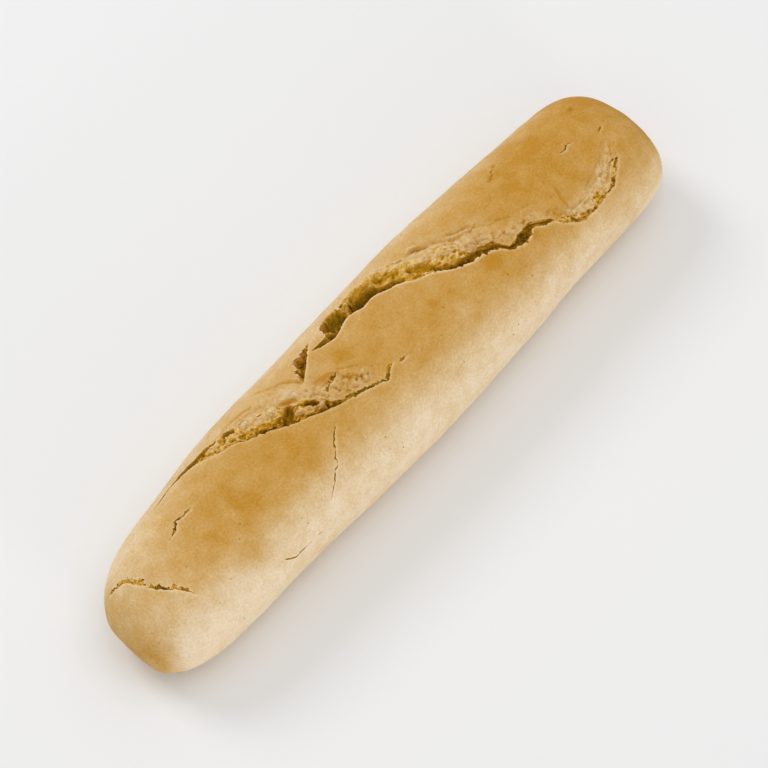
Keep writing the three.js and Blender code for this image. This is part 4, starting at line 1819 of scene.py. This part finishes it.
FOLDS = (
    Stroke(((-29.6, 11.5, 1.2), (-27.5, 9.8, 1.7), (-24.7, 8.0, 1.8), (-22.5, 5.0, 1.2)), -1.3, ragged=0.0, gold=0.5),
    Stroke(((-43.6, 49.5, 0.7), (-39.7, 39.5, 0.8), (-36.0, 33.8, 0.9), (-33.6, 26.2, 0.9), (-31.8, 19.5, 0.7)), 0.6,
           gold=0.2),
    Stroke(((-68.0, 44.8, 0.6), (-64.1, 45.0, 0.8), (-60.2, 45.4, 0.9), (-56.2, 44.4, 0.9), (-52.4, 42.8, 0.8),
            (-49.5, 39.8, 0.6)), 0.5, gold=0.25),
    Stroke(((-20.7, 6.8, 0.7), (-15.1, -0.5, 0.8)), 0.4, gold=0.2),
    Stroke(((-21.8, -0.6, 1.0), (-20.2, -3.4, 1.7), (-18.2, -5.2, 1.2)), 0.6, soft=0.8, ragged=0.9, gold=0.35,
           coarse=1.0, bit=1.0),
    Stroke(((-20.0, -7.4, 0.5), (-18.4, -7.6, 1.0), (-16.4, -8.4, 0.5)), 0.6, soft=0.6, ragged=0.8, gold=0.3),
    Stroke(((-18.8, -5.6, 1.0),), -0.5, soft=0.6, ragged=0.8, gold=-0.2),
    Stroke(((-15.8, -6.0, 0.8),), -0.4, soft=0.6, ragged=0.8, gold=-0.2),
    Stroke(((47.1, 16.6, 0.9), (51.2, 12.8, 1.1), (55.0, 9.4, 0.8)), -0.6, gold=-0.15),
    Stroke(((48.0, 19.5, 0.5), (51.0, 15.2, 0.8), (53.6, 13.4, 0.6), (56.4, 8.8, 0.8), (58.6, 6.4, 0.5)), 0.6,
           ragged=0.7, gold=0.25),
    Stroke(((58.6, 6.0, 0.4), (61.6, 0.6, 0.7), (64.4, -0.8, 0.5), (68.0, -5.6, 0.5)), 0.35, ragged=0.9, gold=0.15),
    Stroke(((46.2, 14.6, 0.6), (48.6, 12.4, 0.9), (51.6, 10.8, 0.8), (54.4, 8.0, 0.6)), 0.6, ragged=0.7, gold=0.3),
    Stroke(((42.2, 24.5, 0.5), (44.8, 18.9, 0.8), (46.9, 15.2, 0.5)), 0.4, ragged=0.7, gold=0.2),
    Stroke(((-49.4, 20.0, 0.8), (-46.4, 23.6, 1.0), (-43.6, 25.6, 1.0), (-40.2, 24.4, 0.9), (-38.0, 19.4, 0.9),
            (-37.2, 13.2, 0.8)), -0.4, ragged=0.8, gold=-0.12, coarse=0.7, bit=1.1),
    Stroke(((-44.2, 21.4, 1.1), (-42.1, 19.2, 1.7), (-40.4, 17.0, 1.6), (-39.4, 14.6, 1.0)), 0.5, soft=0.7,
           ragged=0.2, gold=0.5),
    Stroke(((35.7, 32.2, 1.1), (37.5, 28.5, 1.8), (39.8, 25.2, 1.0)), 1.0, ragged=0.2, gold=0.45),
    Stroke(((35.6, 35.8, 1.1), (37.4, 33.2, 0.9)), -0.5, gold=-0.25),
    Stroke(((-67.0, 41.0, 1.6), (-63.0, 39.5, 2.8), (-57.0, 36.5, 4.0), (-50.0, 32.0, 4.0), (-43.5, 28.0, 2.4)), 0.0,
           soft=0.6, gold=0.06, coarse=0.9, bit=1.2),
    Stroke(((-35.0, 12.0, 2.2), (-33.0, 4.0, 3.0), (-27.0, -3.0, 3.4), (-20.0, -8.0, 3.6), (-14.5, -12.5, 2.2)), 0.0,
           soft=0.6, gold=-0.1, coarse=1.6, bit=1.5),
    Stroke(((44.0, 14.0, 2.6), (50.0, 3.0, 3.2), (56.0, -6.0, 3.0), (64.0, -14.0, 3.0), (72.0, -16.0, 2.4)), 0.0,
           soft=0.6, gold=-0.08, coarse=1.2),
    Stroke(((86.0, -37.0, 2.4), (94.0, -40.0, 3.0), (103.0, -36.0, 3.4), (111.0, -27.0, 3.0), (117.0, -19.0, 2.0)),
           0.0, gold=-0.05, coarse=0.5),
    Stroke(((79.0, -24.0, 1.6), (81.6, -29.0, 2.6), (83.4, -35.0, 2.4), (84.6, -41.0, 1.6)), 0.1, ragged=0.9,
           gold=0.18, coarse=0.8),
    Stroke(((83.1, 37.5, 1.2),), 0.8, gold=0.35),
    Stroke(((80.4, 33.0, 0.8), (79.0, 30.0, 0.8), (76.6, 27.8, 0.8)), 0.9, gold=0.3),
    Stroke(((79.8, 31.4, 1.0),), -0.9, gold=-0.25),
    Stroke(((121.0, 26.8, 1.5),), 0.9, ragged=0.6, gold=0.4),
    Stroke(((-137.4, -126.0, 6.0),), -0.8, soft=1.0, ragged=0.0),
    Stroke(((87.5, -17.3, 0.6), (86.8, -27.2, 0.9), (87.0, -31.7, 0.7)), 0.3, gold=0.3),
)

GASH = Burst("gash", (
    (-32.0, 19.0, 0.6, 0.4, -0.3, -0.3, 0.5),
    (-27.0, 25.2, 4.0, 3.0, 4.4, 2.6, 0.5),
    (-23.0, 31.6, 5.0, 4.0, 5.2, 3.0, 0.5),
    (-19.0, 38.0, 2.4, 1.6, 3.4, 1.8, 0.5),
    (-16.5, 41.6, 0.6, 0.4, -0.3, -0.3, 0.5),
), Tear.DEEP, 41, (
    Stroke(((-29.5, 23.0, 1.8), (-25.0, 33.0, 3.2), (-20.0, 39.0, 2.2)), 0.0, calm=0.8),
), gold=0.02, lip_jag=0.3, far_jag=2.0, far_grain=1.3, far_teeth=1.5)

TORN_END = Burst("torn_end", (
    (79.5, -37.0, 0.6, 0.4, -0.3, -0.3, 2.0),
    (82.5, -41.0, 3.4, 1.0, 0.6, 0.45, 3.0),
    (86.0, -47.0, 4.2, 1.4, 0.9, 0.6, 4.0),
    (91.0, -49.5, 3.8, 1.2, 0.8, 0.5, 5.0),
    (96.0, -50.0, 4.8, 1.0, 0.7, 0.5, 4.0),
    (101.5, -47.6, 4.6, 1.0, 0.8, 0.5, 4.0),
    (106.5, -47.0, 4.6, 0.9, 0.8, 0.45, 5.0),
    (110.5, -41.0, 4.4, 0.9, 0.5, 0.5, 5.0),
    (114.5, -34.0, 3.8, 1.2, 0.4, 0.5, 4.0),
    (117.5, -25.0, 2.0, 0.6, 0.4, 0.3, 3.0),
    (121.5, -17.5, 0.6, 0.4, -0.3, -0.3, 2.0),
), Tear.SHALLOW, 61, (
    Stroke(((80.8, -30.8, 0.9), (82.6, -35.6, 1.1)), 0.5, ragged=0.7, gold=0.2),
    Stroke(((85.6, -43.5, 1.1), (86.0, -46.5, 1.2)), 0.8, ragged=0.7, gold=0.25),
    Stroke(((89.5, -45.5, 1.0), (91.9, -47.2, 1.1)), 0.7, ragged=0.7, gold=0.2),
    Stroke(((95.6, -48.6, 0.8), (94.6, -51.0, 0.7)), 0.5, ragged=0.7, gold=0.1),
    Stroke(((96.1, -41.8, 1.0), (98.6, -44.0, 1.2), (100.0, -42.5, 1.0)), 0.8, ragged=0.7, gold=0.2),
    Stroke(((113.4, -30.6, 1.0), (111.8, -31.8, 1.0)), 0.8, ragged=0.7, gold=0.25),
    Stroke(((112.4, -36.0, 1.0), (114.8, -32.6, 1.2)), 0.8, ragged=0.7, gold=0.25),
    Stroke(((110.2, -32.6, 0.9), (109.4, -34.0, 0.7)), 0.6, ragged=0.7, gold=0.2),
    Stroke(((92.6, -43.0, 1.2),), -0.8, gold=-0.15),
    Stroke(((105.0, -41.5, 2.4), (108.0, -38.5, 1.8)), -1.0, gold=-0.15),
), gold=-0.02, pale_lip=0.2, lip_jag=0.5, broken=0.35)

CRACKS = (
    Burst.crack("end_crack", 81, (
        (-133.6, 56.6, 0.1, -0.3), (-132.6, 53.0, 1.1, 0.8), (-131.3, 45.8, 1.4, 0.9), (-129.7, 38.3, 1.9, 1.0),
        (-128.4, 31.0, 2.1, 0.9), (-127.9, 25.5, 1.6, 0.8), (-127.3, 20.2, 1.9, 0.8), (-126.9, 13.5, 2.1, 0.8),
        (-126.4, 9.0, 1.2, 0.6), (-125.8, 4.0, 0.1, -0.3),
    ), broken=0.15, far_jag=2.0, far_teeth=1.3, gold=0.1),
    Burst.crack("end_crack_tail", 85, (
        (-126.0, 7.5, 0.1, -0.3), (-125.4, 3.0, 1.1, 0.6), (-124.4, -3.0, 1.6, 0.8), (-123.4, -7.5, 1.3, 0.7),
        (-122.2, -11.5, 1.0, 0.5), (-120.9, -14.0, 1.4, 0.7), (-119.5, -18.5, 1.2, 0.6), (-118.5, -24.0, 0.9, 0.5),
        (-117.6, -29.0, 0.6, 0.4), (-116.6, -35.0, 0.1, -0.3),
    ), broken=0.15, far_jag=2.0, far_teeth=1.2, gold=0.1),
    Burst.crack("nose_crack", 91, (
        (-109.4, 13.8, 0.1, -0.3), (-106.5, 14.6, 0.8, 0.9), (-104.0, 15.5, 1.1, 1.1), (-101.5, 21.0, 0.9, 1.0),
        (-99.0, 19.0, 0.7, 0.9), (-96.0, 18.2, 1.0, 1.1), (-92.4, 18.6, 0.1, -0.3),
    ), far_jag=1.6),
    Burst.crack("slash_run", 93, (
        (-31.6, -10.9, 0.2, -0.3), (-29.6, -12.2, 1.6, 1.0), (-26.0, -13.8, 1.6, 0.9), (-22.0, -16.2, 1.4, 0.85),
        (-18.0, -18.8, 1.2, 0.8), (-15.0, -20.8, 1.3, 0.7), (-13.0, -22.4, 1.2, 0.4), (-11.4, -23.4, 0.2, -0.3),
    ), broken=0.1, far_jag=1.6, far_teeth=0.3, gold=0.2),
    Burst.crack("slash_tail", 95, (
        (-13.2, -23.4, 0.2, -0.3), (-11.4, -23.4, 1.3, 0.5), (-9.6, -20.4, 2.0, 0.8), (-8.2, -18.6, 1.8, 0.7),
        (-5.4, -17.6, 0.2, -0.3),
    ), broken=0.1, far_jag=1.6, gold=0.2),
    Burst.crack("tail_end", 97, (
        (-4.4, -19.8, 0.1, -0.3), (-3.2, -21.0, 0.8, 0.4), (-1.4, -21.2, 0.7, 0.35), (0.4, -21.8, 0.1, -0.3),
    ), far_jag=2.0, gold=0.15),
    Burst.crack("blister_fold", 117, (
        (-31.8, 1.4, 0.1, -0.3), (-30.6, 2.0, 1.2, 0.6), (-28.8, 2.2, 1.9, 0.8), (-27.0, 3.4, 1.2, 0.6),
        (-25.2, 3.4, 1.9, 0.8), (-23.6, 4.6, 1.3, 0.7), (-22.6, 5.4, 0.1, -0.3),
    ), broken=0.2, far_jag=2.4, far_teeth=0.7, gold=0.1),
    Burst.crack("torn_joint", 119, (
        (77.4, -29.6, 0.2, -0.3), (79.2, -33.6, 1.8, 0.5), (81.0, -37.6, 2.4, 0.6), (83.0, -42.0, 2.0, 0.5),
        (84.4, -45.6, 0.2, -0.3),
    ), broken=0.35, far_jag=2.6),
    Burst.crack("far_groove", 98, (
        (-91.0, 52.0, 0.5, -0.3), (-88.8, 51.2, 1.3, 1.6), (-84.6, 49.0, 1.6, 2.2), (-78.7, 46.5, 1.8, 2.6),
        (-71.8, 44.2, 1.8, 2.4), (-68.2, 42.6, 1.3, 1.4), (-66.4, 41.4, 0.3, -0.3),
    ), broken=0.0, far_jag=0.3, gold=0.15),
    Burst.crack("crumb_pit", 121, (
        (-66.2, 40.6, 0.3, -0.3), (-65.0, 39.6, 1.3, 1.4), (-63.2, 38.4, 2.2, 2.4), (-61.6, 36.2, 2.0, 2.2),
        (-60.4, 33.0, 0.3, -0.3),
    ), broken=0.0, far_jag=0.8, far_teeth=0.6, gold=0.15),
    Burst.crack("side_crack", 99, (
        (-62.0, -67.0, 0.1, -0.3), (-57.3, -57.2, 0.4, 0.35), (-54.7, -52.0, 0.4, 0.4), (-51.0, -45.2, 0.5, 0.5),
        (-47.4, -38.8, 0.5, 0.5), (-45.3, -32.2, 1.0, 0.6), (-43.3, -28.2, 0.9, 0.5), (-41.2, -23.8, 0.5, 0.5),
        (-38.4, -20.4, 0.5, 0.45), (-36.6, -18.2, 0.1, -0.3),
    ), broken=0.3, far_jag=0.5),
    Burst.crack("low_crack", 103, (
        (-85.0, -65.0, 0.1, -0.3), (-83.0, -69.0, 0.6, 0.5), (-80.5, -74.0, 0.6, 0.6), (-74.5, -75.0, 0.5, 0.5),
        (-68.0, -75.0, 0.4, 0.4), (-62.0, -75.0, 0.1, -0.3),
    ), broken=0.3, far_jag=0.5),
    Burst.crack("top_crack", 107, (
        (99.8, 1.4, 0.1, -0.3), (101.6, 0.5, 0.6, 0.7), (103.4, -0.8, 0.9, 1.0), (104.6, 1.0, 0.7, 0.8),
        (106.0, 1.4, 0.6, 0.7), (108.2, -0.4, 0.1, -0.3),
    ), broken=0.3, far_jag=1.6),
    Burst.crack("far_crack", 111, (
        (117.4, -8.4, 0.1, -0.3), (118.8, -7.2, 0.7, 0.8), (120.6, -5.8, 0.7, 0.8), (122.6, -4.4, 0.1, -0.3),
    ), broken=0.2),
)


def main() -> None:
    """Builds the studio and the loaf, and logs their face counts."""
    logging.basicConfig(level=logging.INFO, format="%(name)s: %(message)s")
    studio = Studio()
    studio.set_camera()
    studio.light()
    LOG.info("floor: %d faces", len(studio.lay_floor().data.polygons))
    bursts = (FIRST_SLASH, SECOND_SLASH, GASH, TORN_END, *CRACKS)
    loaf = Loaf(bursts, FOLDS).build(CrustFinish().material(), CrumbFinish().material())
    triangles = sum(len(face.vertices) - 2 for face in loaf.data.polygons)
    LOG.info("loaf: %d faces, %d triangles", len(loaf.data.polygons), triangles)


if __name__ == "__main__":
    main()
